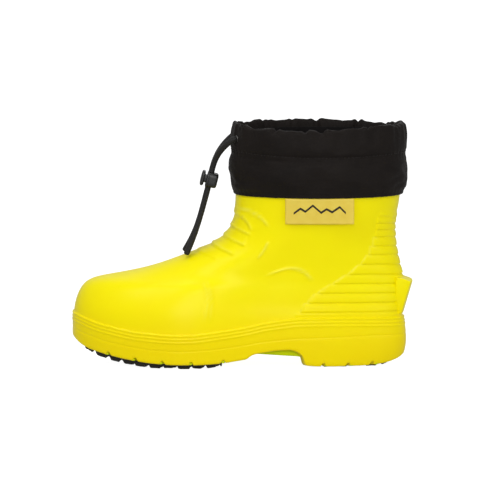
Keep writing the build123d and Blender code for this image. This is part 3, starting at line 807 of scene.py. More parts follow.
def make_shell():
    """The moulded shell as one closed mesh: sole wall, upper, top edge, inside and footbed."""
    angle = column_angles()
    ring = form_points(angle, np.full(COLUMNS, 2.0))
    x = ring[:, 0]
    heights = wall_rows(x)
    wall_levels = level_at_height(angle, heights)
    wall = form_points(angle[None, :], wall_levels)
    levels = upper_levels(angle, x, wall_levels[-1])
    upper = form_points(angle[None, :], levels)
    outer = np.concatenate([wall, upper])
    normals = grid_normals(outer)
    foxing = soft_line_height(FOXING, outer[..., 0])
    parting = soft_line_height(PARTING, outer[..., 0])
    relief = shell_relief(outer, foxing)
    relief -= 0.35 * MM * np.exp(-((outer[..., 2] - parting) / (0.55 * MM)) ** 2)
    edge_round = np.array([1.2, 0.45, 0.1] + [0] * (len(outer) - 3)) * MM
    highlight_shares = painted_crest_shares(outer)
    outer = outer + normals * (relief - edge_round[:, None])[..., None]
    return close_shell(angle, x, outer, highlight_shares)


RIM_WIDTH = 6.3          # mm, the sole wall's lower edge
RECESS_TOP = 6.0         # mm from the lower edge up to the recess's ceiling
WALL = 4.6               # mm, thickness of the upper
FOOTBED = [(-9, 36), (3, 31), (43, 22), (88, 19.5), (138, 24), (193, 31), (253, 30), (313, 32)]


def form_row(angle, height, inset):
    """The row of the form, moved inwards, that lies at a height."""
    return form_points(angle, level_at_height(angle, height, inset), inset)


def flat_row(row, angle):
    """A row folded onto the boot's middle to close a floor; both sides are evened, so that they meet."""
    flat = (row + np.roll(row[::-1], 1, 0)) / 2
    flat[:, 1] = LEAN(2.0) * MM * (1 - (1 - np.cos(angle)) / 2) ** 2
    return flat


def close_shell(angle, x, outer, highlight_shares):
    """Adds the underside, the recess, the top edge and the inside to the outer rows."""
    edge = lower_edge(x)
    rim = form_row(angle, edge, RIM_WIDTH)
    ceiling = form_row(angle, edge + RECESS_TOP * MM, RIM_WIDTH)
    under = [flat_row(ceiling, angle), ceiling, rim + (0, 0, 0.6 * MM), rim]
    top = RINGS[SHELL_TOP_LEVEL][3] * MM
    inside = [outer[-1] + (0, 0, 0.6 * MM)]
    floor = soft_line_height(FOOTBED, x)
    for share in np.linspace(0, 1, 26):
        level = SHELL_TOP_LEVEL + (level_at_height(angle, floor, WALL) - SHELL_TOP_LEVEL) * share
        inside.append(form_points(angle, level, WALL))
    inside[1][:, 2] = top + 0.6 * MM
    inside.append(flat_row(inside[-1], angle))
    points = np.concatenate([np.array(under), outer, np.array(inside)])
    shell = sheet("shell_moulding", points)
    # the painted highlight along the moulded lines goes into a mesh attribute that the foam material reads
    values = np.zeros(points.shape[:2], np.float32)
    values[len(under):len(under) + len(outer)] = highlight_shares
    layer = shell.data.attributes.new(HIGHLIGHT_LAYER, "FLOAT", "POINT")
    layer.data.foreach_set("value", values.ravel())
    return outward(shell)


def make_spur():
    """The moulded spur on the heel: a wedge that stands out of the heel's back."""
    top_x = SHELL_HIGH.x
    # x from the spur's tip, height and half-width, in mm
    profile = [(-16, 48, 15.5), (-8.7, 48, 16.5), (0, 77.9, 19), (-7.6, 80.6, 19.5), (-16, 82, 19)]
    points = []
    rounds = 24
    for k in range(rounds + 1):
        across = -1 + 2 * k / rounds
        bulge = -2.4 * MM * abs(across) ** 2.6
        row = [(top_x + dx * MM + bulge * (1 if dx > -15 else 0), across * half * MM, z * MM)
               for dx, z, half in profile]
        points.append(row)
    grid = np.array(points)
    first, last = grid[0].mean(0), grid[-1].mean(0)
    rows = np.concatenate([np.tile(first, (1, 5, 1)), grid, np.tile(last, (1, 5, 1))])
    piece = outward(sheet("shell_heel_spur", rows))
    bevel = piece.modifiers.new("soft_edges", "BEVEL")
    bevel.width = 1.0 * MM
    bevel.segments = 3
    bevel.limit_method = "ANGLE"
    bevel.angle_limit = math.radians(40)
    apply_modifiers(piece)
    return piece


# The sole plate and its treads ------------------------------------------------------------------
# Lines along the sole, (mm behind the toe, mm above the ground)
PLATE_TOP = [(-13, 33), (13, 23.5), (47, 15), (88, 11), (138, 13), (193, 21), (253, 13), (313, 19)]
PLATE_FLOOR = [(-13, 40), (1, 28.5), (14, 20), (47, 11.2), (88, 6.2), (138, 7.4), (169, 13), (207, 10.6),
               (223, 6.6), (243, 5), (273, 5), (291, 8), (315, 17)]
TOE_GROUND = [(-3, 22.5), (7, 16.6), (27, 8.6), (47, 3.9), (69, 0.8), (83, 0), (119, 0), (141, 2.2)]
HEEL_GROUND = [(213, 0), (281, 0), (297, 4.6)]
PLATE_INSET = 6.6                            # mm inside the sole wall
TOE_TREAD_INSET, HEEL_TREAD_INSET = 9.5, 15.0
LUG_DEPTH = 2.9 * MM
LUG_PITCH, LUG_WIDTH = 13.0 * MM, 17.0 * MM  # along and across the boot
LUG_HALF_LENGTH, LUG_HALF_WIDTH = 5.1 * MM, 7.0 * MM
LUG_WEAR = 0.8 * MM                          # worn lugs stand this much lower at most
EDGE_ROUND = 1.2 * MM
OUTLINE_POINTS = 400
TAB_INSET, TAB_REACH = 1.3, 4.0 * MM         # each tab's outer end lies this far inside the sole wall
TAB_RISE = 1.35 * MM
LIP_HIGH = 0.3                               # mm from the sole wall's lower edge up to the plate's lip
LIP_NARROW, LIP_WIDE = 2.3 * MM, 2.8 * MM    # the lip fades out between these widths


def lug_relief(x, y):
    """How far the tread is cut back at a point: nothing on a lug, all of LUG_DEPTH between lugs."""
    x = x + 1.6 * MM * np.sin(y / (8 * MM)) + 1.0 * MM * np.sin(y / (3.1 * MM) + 1)
    y = y + 1.6 * MM * np.sin(x / (11 * MM))
    row = np.floor(x / LUG_PITCH)
    shifted = y + np.where(row % 2 == 0, 0, LUG_WIDTH / 2)
    dx = (x / LUG_PITCH - row - 0.5) * LUG_PITCH
    dy = (shifted / LUG_WIDTH - np.floor(shifted / LUG_WIDTH) - 0.5) * LUG_WIDTH
    away = ((dx / LUG_HALF_LENGTH) ** 4 + (dy / LUG_HALF_WIDTH) ** 4) ** 0.25
    wear = np.clip(noise(np.stack([x, y, 0 * x], axis=-1), 0.016, 12), 0, 1)
    return LUG_DEPTH * smooth_step(0.82, 1.16, away) + LUG_WEAR * wear


def plate_lip(x, bottom):
    """How far the plate's rim reaches down behind the notches of the sole wall."""
    beside_arch = 1 - smooth_step(toe(152), toe(160), x) * smooth_step(toe(222), toe(214), x)
    return np.clip(bottom - soft_line_height(LOWER_EDGE, x) - LIP_HIGH * MM, 0, 4 * MM) * beside_arch


def sole_slab(name, ends, inset, top_line, bottom_line, step, relief=None, lip=None):
    """A slab inside the sole's outline between two lines; ends in mm behind the toe, inset in mm."""
    angle = np.linspace(0, math.pi, OUTLINE_POINTS)
    outer_side = form_points(angle, np.full(OUTLINE_POINTS, 1.0), inset)
    inner_side = form_points(-angle, np.full(OUTLINE_POINTS, 1.0), inset)
    first = max(float(toe(ends[0])), outer_side[0, 0] + 0.4 * MM)
    last = min(float(toe(ends[1])), outer_side[-1, 0] - 0.4 * MM)
    x = np.linspace(first, last, int((last - first) / step))
    low_y = np.interp(x, outer_side[:, 0], outer_side[:, 1])
    high_y = np.interp(x, inner_side[:, 0], inner_side[:, 1])
    across = np.linspace(0, 1, int(0.09 / step))[:, None]
    y = low_y + (high_y - low_y) * across
    x = np.broadcast_to(x, y.shape)
    top, bottom = soft_line_height(top_line, x), soft_line_height(bottom_line, x, 2 * MM)
    if relief is not None:
        bottom = bottom + relief(x, y)
    edge = np.minimum(np.minimum(y - low_y, high_y - y), np.minimum(x - first, last - x))
    if lip is not None:
        bottom = bottom - lip(x, bottom) * smooth_step(LIP_WIDE, LIP_NARROW, edge)
    roll = EDGE_ROUND - np.sqrt(np.clip(EDGE_ROUND ** 2 - np.clip(EDGE_ROUND - edge, 0, None) ** 2, 0, None))
    bottom = np.minimum(bottom + roll, top - 0.3 * MM)
    upper = np.stack([x, y, top], axis=-1)
    lower = np.stack([x, y, bottom], axis=-1)
    return closed_slab(name, upper, lower)


def closed_slab(name, upper, lower):
    """A closed mesh between two grids of the same shape."""
    rows, columns = upper.shape[:2]
    count = rows * columns
    index = np.arange(count).reshape(rows, columns)
    quads = np.stack([index[:-1, :-1], index[:-1, 1:], index[1:, 1:], index[1:, :-1]], axis=-1).reshape(-1, 4)
    border = np.concatenate([index[:-1, 0], index[-1, :-1], index[:0:-1, -1], index[0, :0:-1]])
    after = np.roll(border, -1)
    sides = np.stack([border, after, after + count, border + count], axis=-1)
    faces = np.concatenate([quads, quads[:, ::-1] + count, sides])
    return outward(add_mesh(name, np.concatenate([upper.reshape(-1, 3), lower.reshape(-1, 3)]), faces))


def shifted(line, amount):
    return [(x, z + amount) for x, z in line]


def make_plate_tabs():
    """The plate's tabs that show in the notches of the sole wall."""
    tabs = []
    for notch in NOTCHES:
        x = float(toe(notch))
        z = float(soft_line_height(LOWER_EDGE, np.array([x]), 1.6 * MM)[0]) + TAB_RISE
        for side in (-1, 1):
            turn = np.linspace(0, side * math.pi, OUTLINE_POINTS)
            ring = form_points(turn, np.full(OUTLINE_POINTS, 1.0), TAB_INSET)
            y = float(np.interp(x, ring[:, 0], ring[:, 1]))
            axes = ((1, 0, 0), (0, 1, 0), (0, 0, 1))
            centre = (x, y + side * TAB_REACH, z)
            halves = (1.9 * MM, TAB_REACH, 1.3 * MM)
            tabs.append(rounded_block(f"plate_tab_{notch}_{side}", centre, axes, halves, 3))
    return join("sole_plate_tabs", tabs)


def make_sole_pieces():
    dress(make_plate_tabs(), "boot", LIME, "plate_foam")
    plate = sole_slab("sole_plate_form", (0, 306), PLATE_INSET, shifted(PLATE_TOP, -0.1), PLATE_FLOOR, 1 * MM,
                      lip=plate_lip)
    dress(plate, "boot", LIME, "plate_foam", "sole_plate")
    under_plate = shifted(PLATE_FLOOR, -0.1)
    toe_tread = sole_slab("forefoot_lugs", (9.4, 137), TOE_TREAD_INSET, under_plate, TOE_GROUND, 0.9 * MM,
                          lug_relief)
    dress(toe_tread, "boot", TREAD, "tread_rubber", "forefoot_tread")
    heel_tread = sole_slab("heel_lugs", (217, 293), HEEL_TREAD_INSET, under_plate, HEEL_GROUND, 0.9 * MM,
                           lug_relief)
    dress(heel_tread, "boot", TREAD, "tread_rubber", "heel_tread")


# Inside the boot --------------------------------------------------------------------------------
LINER_TOP = 186.0                            # mm
LINER_OUTER_INSET, LINER_INNER_INSET = 5.0, 6.4
FLEECE_OUTER_INSET, FLEECE_INNER_INSET = 6.5, 10.5
INSOLE_INSET = 11.0
LINER_COLUMNS = 300


def lined_wall(angle, inset, lift, rows):
    """Rows of a wall from the lifted footbed up to the top."""
    ring = form_points(angle, np.full(len(angle), 2.0), inset)
    floor = soft_line_height(FOOTBED, ring[:, 0]) + lift * MM
    low = level_at_height(angle, floor, inset)
    high = level_at_height(angle, np.full(len(angle), LINER_TOP * MM), inset)
    levels = low + (high - low) * np.linspace(0, 1, rows)[:, None]
    return form_points(angle[None, :], levels, inset)


def make_liner_layer(name, insets, lifts, rows, relief=None):
    """A hollow layer of the liner, with its floor and its top edge."""
    angle = round_turn(LINER_COLUMNS)
    outer = lined_wall(angle, insets[0], lifts[0], rows)
    inner = lined_wall(angle, insets[1], lifts[1], rows)
    if relief is not None:
        shift = relief(inner) * smooth_step(1.0, 0.93, np.linspace(0, 1, rows))[:, None]
        inner = inner - grid_normals(inner) * shift[..., None]
    floor_out = inner_floor(outer[0], angle)
    floor_in = inner_floor(inner[0], angle)
    grid = np.concatenate([floor_out[::-1], outer, inner[::-1], floor_in])
    return outward(sheet(name, grid))


def inner_floor(row, angle):
    """Rows from the foot of a wall in to the middle of the floor."""
    return between(row, flat_row(row, angle), 10)


def pile(points):
    """Height of the fleece's tufts: small clumps over soft waves."""
    clumps = noise(points, 0.0075, 31) + 0.8 * noise(points, 0.0042, 32)
    return np.clip(0.45 + 0.32 * clumps, 0, 1.1) * MM


def make_insole():
    """A cupped felt sole that lies on the liner's floor."""
    angle = round_turn(LINER_COLUMNS)
    ring = form_points(angle, np.full(LINER_COLUMNS, 2.0), INSOLE_INSET)
    floor = soft_line_height(FOOTBED, ring[:, 0]) + 5.8 * MM
    low = form_row(angle, floor, INSOLE_INSET)
    inset_rise = ((0.0, 0.8), (0.0, 2.9), (0.4, 3.6), (1.2, 3.9), (3.0, 3.5), (6.0, 3.2))
    rows = [flat_row(low, angle), low]
    rows += [form_row(angle, floor + rise * MM, INSOLE_INSET + more) for more, rise in inset_rise]
    rows += inner_floor(rows[-1], angle)
    return outward(sheet("insole_cup", np.array(rows)))


def make_binding():
    """Tape folded over the liner's top edge, with a soft ripple."""
    angle = round_turn(LINER_COLUMNS)
    middle_inset = (LINER_OUTER_INSET + FLEECE_INNER_INSET) / 2
    half = (FLEECE_INNER_INSET - LINER_OUTER_INSET) / 2
    low, high = LINER_TOP + 0.1, LINER_TOP + 1.7
    turn = round_turn(20)
    rows = []
    for a in turn:
        inset = middle_inset + half * signed_power(math.cos(a), 0.5)
        rise = (low + high) / 2 + (high - low) / 2 * signed_power(math.sin(a), 0.6)
        ripple = 0.12 * np.sin(angle * 46) if math.sin(a) > 0.3 else 0 * angle
        rows.append(form_row(angle, (rise - np.abs(ripple)) * MM, inset))
    return outward(sheet("liner_edge_tape", np.array(rows), wrap_rows=True))


LOOP_X, LOOP_HALF, LOOP_RISE = 39.1 * MM, 9.0 * MM, 12.0 * MM
LOOP_SHEET, LOOP_BAND = 1.4 * MM, 4.0 * MM


def make_pull_loop():
    """A webbing loop that stands on the binding at the back of the leg."""
    base = (LINER_TOP + 1.7) * MM
    straight = LOOP_RISE - LOOP_HALF
    radius = LOOP_HALF - LOOP_SHEET / 2
    arc = np.linspace(0, math.pi, 40)
    path = [(-radius, z) for z in np.linspace(0.05 * MM, straight, 6)[:-1]]
    path += [(-radius * math.cos(a), straight + radius * math.sin(a)) for a in arc]
    path += [(radius, z) for z in np.linspace(straight, 0.05 * MM, 6)[1:]]
    turn = round_turn(24)
    section = [(signed_power(math.cos(a), 0.45) * LOOP_BAND / 2,
                signed_power(math.sin(a), 0.8) * LOOP_SHEET / 2) for a in turn]
    rows = []
    for i, (y, z) in enumerate(path):
        before, after = path[max(i - 1, 0)], path[min(i + 1, len(path) - 1)]
        along = np.array((after[0] - before[0], after[1] - before[1]))
        along /= np.linalg.norm(along)
        out = (-along[1], along[0])
        rows.append([(LOOP_X + wide, y + out[0] * thick, base + z + out[1] * thick)
                     for wide, thick in section])
    return outward(cap_tube(sheet("liner_pull_webbing", np.array(rows)), len(section)))


def make_inside_pieces():
    cloth = make_liner_layer("liner_cloth_layer", (LINER_OUTER_INSET, LINER_INNER_INSET), (0.1, 1.5), 40)
    dress(cloth, "boot", LINER, "liner_cloth", "liner_outer")
    fleece_insets = (FLEECE_OUTER_INSET, FLEECE_INNER_INSET)
    fleece = make_liner_layer("liner_pile_layer", fleece_insets, (1.6, 5.6), 90, pile)
    dress(fleece, "boot", FLEECE, "fleece", "liner_fleece")
    dress(make_insole(), "boot", FELT, "insole_felt", "insole")
    dress(make_binding(), "boot", TAPE, "binding_tape", "liner_binding")
    dress(make_pull_loop(), "boot", TAPE, "binding_tape", "liner_pull_loop")


# Cloth ------------------------------------------------------------------------------------------
def upsample(points, rows, columns):
    """A smooth finer grid through points[row, column], whose columns wrap round."""
    def along(grid, at, wrap):
        count = len(grid)
        base = np.floor(at).astype(int)
        t = (at - base).reshape(-1, 1, 1)
        if wrap:
            index = [(base + k) % count for k in (-1, 0, 1, 2)]
        else:
            index = [np.clip(base + k, 0, count - 1) for k in (-1, 0, 1, 2)]
        p0, p1, p2, p3 = (grid[i] for i in index)
        return p1 + 0.5 * t * (p2 - p0 + t * (2 * p0 - 5 * p1 + 4 * p2 - p3 + t * (3 * (p1 - p2) + p3 - p0)))

    finer = along(points, np.linspace(0, len(points) - 1, rows), False)
    turned = finer.transpose(1, 0, 2)
    return along(turned, np.arange(columns) * len(turned) / columns, True).transpose(1, 0, 2)


def settle(points, hold, pressure, growth, cap, frames=26):
    """Lets a ring of cloth settle. hold[row] is 1 where a row is sewn down; no point moves past cap."""
    piece = sheet("settling_cloth", points)
    group = piece.vertex_groups.new(name="sewn")
    columns = points.shape[1]
    for row, weight in enumerate(hold):
        group.add(list(range(row * columns, (row + 1) * columns)), float(weight), "REPLACE")
    cloth = piece.modifiers.new("cloth", "CLOTH")
    cloth.settings.quality = 7
    cloth.settings.mass = 0.12
    cloth.settings.tension_stiffness = 20
    cloth.settings.compression_stiffness = 12
    cloth.settings.shear_stiffness = 6
    cloth.settings.bending_stiffness = 0.35
    cloth.settings.vertex_group_mass = "sewn"
    cloth.settings.shrink_min = -growth
    cloth.settings.use_pressure = True
    cloth.settings.uniform_pressure_force = pressure
    cloth.settings.effector_weights.gravity = 0
    cloth.point_cache.frame_start, cloth.point_cache.frame_end = 1, frames
    scene = bpy.context.scene
    for number in range(1, frames + 1):
        scene.frame_set(number)
    settled = piece.evaluated_get(bpy.context.evaluated_depsgraph_get()).to_mesh()
    moved = np.empty(len(settled.vertices) * 3)
    settled.vertices.foreach_get("co", moved)
    moved = moved.reshape(points.shape)
    mesh = piece.data
    bpy.data.objects.remove(piece)
    bpy.data.meshes.remove(mesh)
    scene.frame_set(1)
    shift = moved - points
    length = np.linalg.norm(shift, axis=2, keepdims=True)
    shift *= np.minimum(1, cap / np.maximum(length, 1e-9))
    for _ in range(2):
        shift = (np.roll(shift, 1, 1) + np.roll(shift, -1, 1) + 2 * shift) / 4
    return points + shift


def thicken(name, points, wall):
    """A closed piece of cloth: points is its outer face, and its inner face lies wall inside it."""
    inner = points - grid_normals(points) * wall
    return outward(sheet(name, np.concatenate([points, inner[::-1]]), wrap_rows=True))


# The collar -------------------------------------------------------------------------------------
LEG_X = (COLLAR_LOW.x + COLLAR_HIGH.x) / 2
COLLAR_SIDE = 0.69                   # width over length of its outline
COLLAR_SQUARE = 2.2
HEM, SEAM = 158.0, 195.0             # mm above the ground
COLLAR_PROFILE = [(HEM, 77.5), (163, 79.3), (170, 80.2), (179, 80.9), (187, 80.8), (SEAM, 79.7),
                  (206, 80.1), (216, 80), (224, 78.6)]     # height, half-length
# Height of the rim along the outer side and the inner side, by mm behind the toe
RIM_OUTER_SIDE = [(145, 225.0), (151, 222.6), (174, 220.6), (191, 219.2), (212, 217.6), (220, 219.9),
                  (225.5, 217.2), (231, 219.8), (258, 221.9), (281, 222.9), (299, 222.4), (306, 223.6)]
RIM_INNER_SIDE = [(145, 225.0), (155, 220.6), (172, 221.4), (186, 220.2), (214, 221.2), (231, 220),
                  (252, 220.6), (270, 219.8), (288, 219), (306, 223.6)]
CLOTH = 0.9                          # mm
RIM_ROUND = 420.0                    # mm round the collar
TUNNEL_HEIGHT = 208.5                # mm, where the cord runs
FACE_ROWS, FACE_COLUMNS = 84, 448    # of the finished outer face
ROLL_ROW = 66                        # rows above this one roll over the rim
SEAM_LINE = [(145, 198.6), (175, 196.6), (215, 194.9), (262, 195.2), (306, 197.4)]
PLEATS = (0.5, 1.08, 1.44, 1.6, 2.15, 2.7, 3.7, 4.25, 4.73, 4.99, 5.4, 5.9)     # angles round the rim
PLEAT_DEPTH, PLEAT_HALF = 2.2, 1.5   # mm


def collar_outline(angle, half_length, depth):
    """x and y in metres of the collar's outline, from its front; depth and half_length in mm."""
    x = LEG_X - (half_length - depth) * MM * signed_power(np.cos(angle), 2 / COLLAR_SQUARE)
    y = -(half_length * COLLAR_SIDE - depth) * MM * signed_power(np.sin(angle), 2 / COLLAR_SQUARE)
    return x, y


def collar_half_length(z):
    heights, halves = zip(*COLLAR_PROFILE)
    reach = np.linspace(-3, 3, 7)
    return np.mean([np.interp(z + d, heights, halves) for d in reach], axis=0)


def rim_height(angle):
    """Height of the rim in mm, round the collar."""
    x, y = collar_outline(angle, 79.0, 0)
    outer_side = soft_line_height(RIM_OUTER_SIDE, x, 2 * MM) / MM
    inner_side = soft_line_height(RIM_INNER_SIDE, x, 2 * MM) / MM
    share = smooth_step(-0.006, 0.006, y)
    return outer_side * (1 - share) + inner_side * share


def seam_height(x):
    """Height in mm of the stitched line under the cord's tunnel."""
    return soft_line_height(SEAM_LINE, x, 8 * MM) / MM


def pleats(angle, z, rim):
    """Creases where the rolled rim is drawn in by the cord, deepest on its inner side."""
    around = RIM_ROUND / (2 * math.pi)
    rng = np.random.default_rng(17)
    total = np.zeros_like(z)
    for place in PLEATS:
        size, lean = rng.uniform(0.45, 1.0), rng.uniform(-0.25, 0.25)
        away = (angle - place + math.pi) % (2 * math.pi) - math.pi
        arc = away * around + lean * (rim - z)
        total -= size * np.exp(-(arc / PLEAT_HALF) ** 2)
        total += 0.45 * size * np.exp(-((np.abs(arc) - 3.2) / 1.9) ** 2)
    return total


def gathers(angle, seed, spacing=15.0, width=3.4):
    """Unevenly spaced soft pleats round the collar, between about -1 and 1."""
    rng = np.random.default_rng(seed)
    around = RIM_ROUND
    places = []
    at = 0.0
    while at < around:
        at += spacing * rng.uniform(0.55, 1.5)
        places.append((at, rng.uniform(0.45, 1.0) * rng.choice([-1, 1, 1]), width * rng.uniform(0.7, 1.6)))
    arc = angle / (2 * math.pi) * around
    total = np.zeros_like(arc)
    for place, size, wide in places:
        away = (arc - place + around / 2) % around - around / 2
        total += size * np.exp(-(away / wide) ** 2)
    return total


def collar_base(rows, columns):
    """The collar's outer face as one open sheet: hem fold, band, tunnel, and the roll over the rim."""
    angle = round_turn(columns)[None, :]
    rim = rim_height(angle)
    fold = [(HEM + 2.6, 1.5), (HEM + 0.5, 1.3), (HEM - 0.25, 0.7), (HEM + 0.25, 0.1)]
    roll = [(-1.2, 0.35), (-0.3, 1.2), (0.0, 2.3), (-0.4, 3.5), (-1.8, 4.7), (-4.5, 5.8), (-8.5, 6.6),
            (-12, 7.2)]
    straight = rows - len(fold) - len(roll)
    heights = [np.full_like(rim, z) for z, depth in fold]
    depths = [depth for z, depth in fold]
    for share in np.linspace(0, 1, straight):
        heights.append(HEM + 1.2 + (rim - 2.6 - HEM - 1.2) * share)
        depths.append(0.0)
    heights += [rim + rise for rise, depth in roll]
    depths += [depth for rise, depth in roll]
    z = np.concatenate(heights)
    x, y = collar_outline(np.broadcast_to(angle, z.shape), collar_half_length(z), np.array(depths)[:, None])
    return np.stack([x, y, z * MM], axis=-1), np.broadcast_to(angle, z.shape)


def collar_sheet():
    """The collar's outer face: its form, its folds and gathers, settled as cloth, then its seams."""
    rows, columns = 34, 168
    points, angle = collar_base(rows, columns)
    z = points[..., 2] / MM
    normal = grid_normals(points)
    tunnel = smooth_step(SEAM + 1, 219, z)
    folds = 1.25 * gathers(angle, 4) * tunnel + 0.6 * gathers(angle, 9, 27, 7) * tunnel
    band = smooth_step(HEM + 2, HEM + 12, z) * smooth_step(SEAM, SEAM - 8, z)
    folds = folds + 0.8 * noise(points, 0.055, 3) * (band + tunnel)
    points = points + normal * (folds * MM)[..., None]
    sewn = np.exp(-((z[:, 0] - HEM - 1.5) / 3.0) ** 2) + np.exp(-((z[:, 0] - SEAM) / 1.8) ** 2)
    sewn[-6:] = 1
    points = settle(points, np.clip(sewn, 0, 1), 0.8, 0.022, 2.2 * MM)
    points = upsample(points, FACE_ROWS, FACE_COLUMNS)
    angle = round_turn(FACE_COLUMNS)[None, :]
    z = points[..., 2] / MM
    row = np.arange(FACE_ROWS)[:, None]
    arc = angle / (2 * math.pi) * RIM_ROUND
    pucker = np.sin(arc * 2 * math.pi / 6.4 + 2.2 * np.sin(arc / 23.0))
    seam = seam_height(points[..., 0])
    near_seam = np.exp(-np.abs(z - seam) / 3.2)
    near_hem = np.exp(-np.abs(z - HEM - 2.5) / 2.4)
    groove = 0.75 * np.exp(-((z - seam) / 1.3) ** 2) + 0.35 * np.exp(-((z - HEM - 2.5) / 0.8) ** 2)
    detail = 0.22 * pucker * (near_seam + 0.7 * near_hem) - groove
    detail = np.where(row > ROLL_ROW, 0, detail)
    rim = z.max(0)[None, :]
    rolled = smooth_step(55, 72, row) * smooth_step(6, 1.5, rim - z) + smooth_step(ROLL_ROW, 74, row)
    detail = detail + PLEAT_DEPTH * pleats(angle + 0 * z, z, rim) * np.clip(rolled, 0, 1)
    return points + grid_normals(points) * (detail * MM)[..., None]


def lining_sheet():
    """The lining inside the collar, pleated under the rim where the cord gathers it."""
    rows, columns = 46, 300
    angle = round_turn(columns)[None, :]
    path = [(179, 2.2), (187, 2.8), (194, 6.0), (200, 8.9), (208, 8.9), (214.5, 8.2)]     # height, depth
    at = np.linspace(0, len(path) - 1, rows)
    z = np.interp(at, range(len(path)), [p[0] for p in path])[:, None] + 0 * angle
    depth = np.interp(at, range(len(path)), [p[1] for p in path])[:, None]
    x, y = collar_outline(np.broadcast_to(angle, z.shape), collar_half_length(z), depth)
    points = np.stack([x, y, z * MM], axis=-1)
    folds = 1.1 * gathers(angle, 21, 17, 3.2) * smooth_step(199, 213, z)
    folds = folds + 0.6 * noise(points, 0.045, 5) * smooth_step(180, 188, z)
    return points + grid_normals(points) * (np.minimum(folds, 0.9) * MM)[..., None]


def stitches(name, points, height, pitch=3.4, length=2.5, thick=0.34, lift=0.12):
    """A row of stitches on a collar sheet; height(x) is in mm. Each is a small rounded bar of thread."""
    outer = points[:ROLL_ROW]
    column_path = []
    for column in range(points.shape[1]):
        order = outer[:, column, 2]
        at = height(outer[30, column, 0]) * MM
        row = np.argmax(order > at)
        share = (at - order[row - 1]) / (order[row] - order[row - 1])
        column_path.append(outer[row - 1, column] * (1 - share) + outer[row, column] * share)
    loop = np.array(column_path + column_path[:1])
    step = np.linalg.norm(np.diff(loop, axis=0), axis=1)
    lengths = np.concatenate([[0], np.cumsum(step)])
    count = int(lengths[-1] / (pitch * MM))
    t = np.linspace(0, 1, 9)
    radii = thick * MM * np.sqrt(np.clip(1 - (2 * t - 1) ** 2, 0.02, 1)) ** 0.7
    angles = round_turn(8)
    all_points, all_faces = [], []
    middle = loop[:-1].mean(0)
    for i in range(count):
        at = (i + 0.5) * lengths[-1] / count
        where = at + (t - 0.5) * length * MM
        path = np.stack([np.interp(where % lengths[-1], lengths, loop[:, k]) for k in range(3)], axis=1)
        tangent = path[-1] - path[0]
        tangent /= np.linalg.norm(tangent)
        up = np.array([0, 0, 1.0])
        out = np.cross(tangent, up)
        out *= np.sign(out @ (path[4] - middle))
        bow = np.sin(math.pi * t)[:, None] * out * thick * 0.5 * MM
        path = path + out * (lift * MM) + bow
        base = sum(len(block) for block in all_points)
        ring = path[:, None] + radii[:, None, None] * (np.cos(angles)[None, :, None] * out
                                                       + np.sin(angles)[None, :, None] * up)
        all_points.append(ring.reshape(-1, 3))
        sides = len(angles)
        for r in range(len(t) - 1):
            for c in range(sides):
                d = (c + 1) % sides
                all_faces.append((base + r * sides + c, base + r * sides + d,
                                  base + (r + 1) * sides + d, base + (r + 1) * sides + c))
        all_faces.append(tuple(base + c for c in range(sides)))
        all_faces.append(tuple(base + (len(t) - 1) * sides + c for c in range(sides)))
    return outward(add_mesh(name, np.concatenate(all_points), all_faces), 1e-7)


# Cords, eyelets and cord lock -------------------------------------------------------------------
CORD_RADIUS = 2.7 * MM
CORD_AXIS = Vector(JOINTS["lock_slide"]["axis"]).normalized()
PRESS_AXIS = Vector(JOINTS["plunger_press"]["axis"]).normalized()
CORD_TIP = 2.2 * MM                  # the cord's tip is rounded over this length
CORD_LANE = 2.73 * MM                # each cord runs this far from the lock's middle


def braid(strands=8, pitch=7.0 * MM, relief=0.13 * MM):
    """Relief of a braided sheath as a function of the angle round the cord and the length along it."""
    def height(angle, along):
        turn = 2 * math.pi * along / pitch
        one = np.sin(strands / 2 * angle + strands / 2 * turn)
        two = np.sin(strands / 2 * angle - strands / 2 * turn)
        return relief * (np.maximum(np.abs(one), np.abs(two)) ** 2 - 0.6)

    return height


def smooth_path(points, step):
    """A natural spline through points, sampled evenly."""
    points = np.asarray(points, float)
    splines = [cubic(points[:, k]) for k in range(3)]
    t = np.linspace(0, len(points) - 1, 40 * len(points))
    return resample(np.stack([s(t) for s in splines], axis=1), step)


def eyelet_frame(node):
    """The middle of an eyelet's face and the way it looks, from its CAD node."""
    low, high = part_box(node)
    middle = (low + high) / 2
    side = math.copysign(1, middle.y)
    wide = collar_half_length(TUNNEL_HEIGHT) * COLLAR_SIDE * MM
    share = abs(middle.y) / wide
    steepness = (1 - share ** COLLAR_SQUARE) ** (1 / COLLAR_SQUARE - 1)
    slope = share ** (COLLAR_SQUARE - 1) * steepness / COLLAR_SIDE
    normal = Vector((-1, side * slope, 0)).normalized()
    face = max(v.co.dot(normal) for v in frame["nodes"][node].data.vertices)
    return middle + normal * (face - middle.dot(normal)), normal


def lathe(name, profile, centre, axis, segments=48):
    """A closed profile of (radius, height) points turned round an axis."""
    axis = np.array(axis, float)
    side = np.cross(axis, (0, 0, 1.0))
    side /= np.linalg.norm(side)
    other = np.cross(axis, side)
    angles = round_turn(segments)
    ring = np.cos(angles)[:, None] * side + np.sin(angles)[:, None] * other
    rows = [np.array(centre) + radius * ring + height * axis for radius, height in profile]
    return outward(sheet(name, np.array(rows), wrap_rows=True))


def make_eyelet(node, name):
    centre, normal = eyelet_frame(node)
    bore, barrel, flange, thick = 3.1 * MM, 3.8 * MM, 5.2 * MM, 0.6 * MM
    arc = np.linspace(0, math.pi, 9)
    profile = [(barrel, -2.2 * MM), (barrel, -thick)]
    profile += [(flange - thick / 2 + thick / 2 * math.sin(a), -thick / 2 - thick / 2 * math.cos(a))
                for a in arc]
    crown = np.linspace(0.15, 0.85, 6)
    profile += [(flange - thick / 2 - (flange - thick / 2 - bore) * t, 0.22 * MM * math.sin(math.pi * t))
                for t in crown]
    profile += [(bore, -0.35 * MM), (bore, -2.2 * MM)]
    return lathe(name, profile, centre, normal)


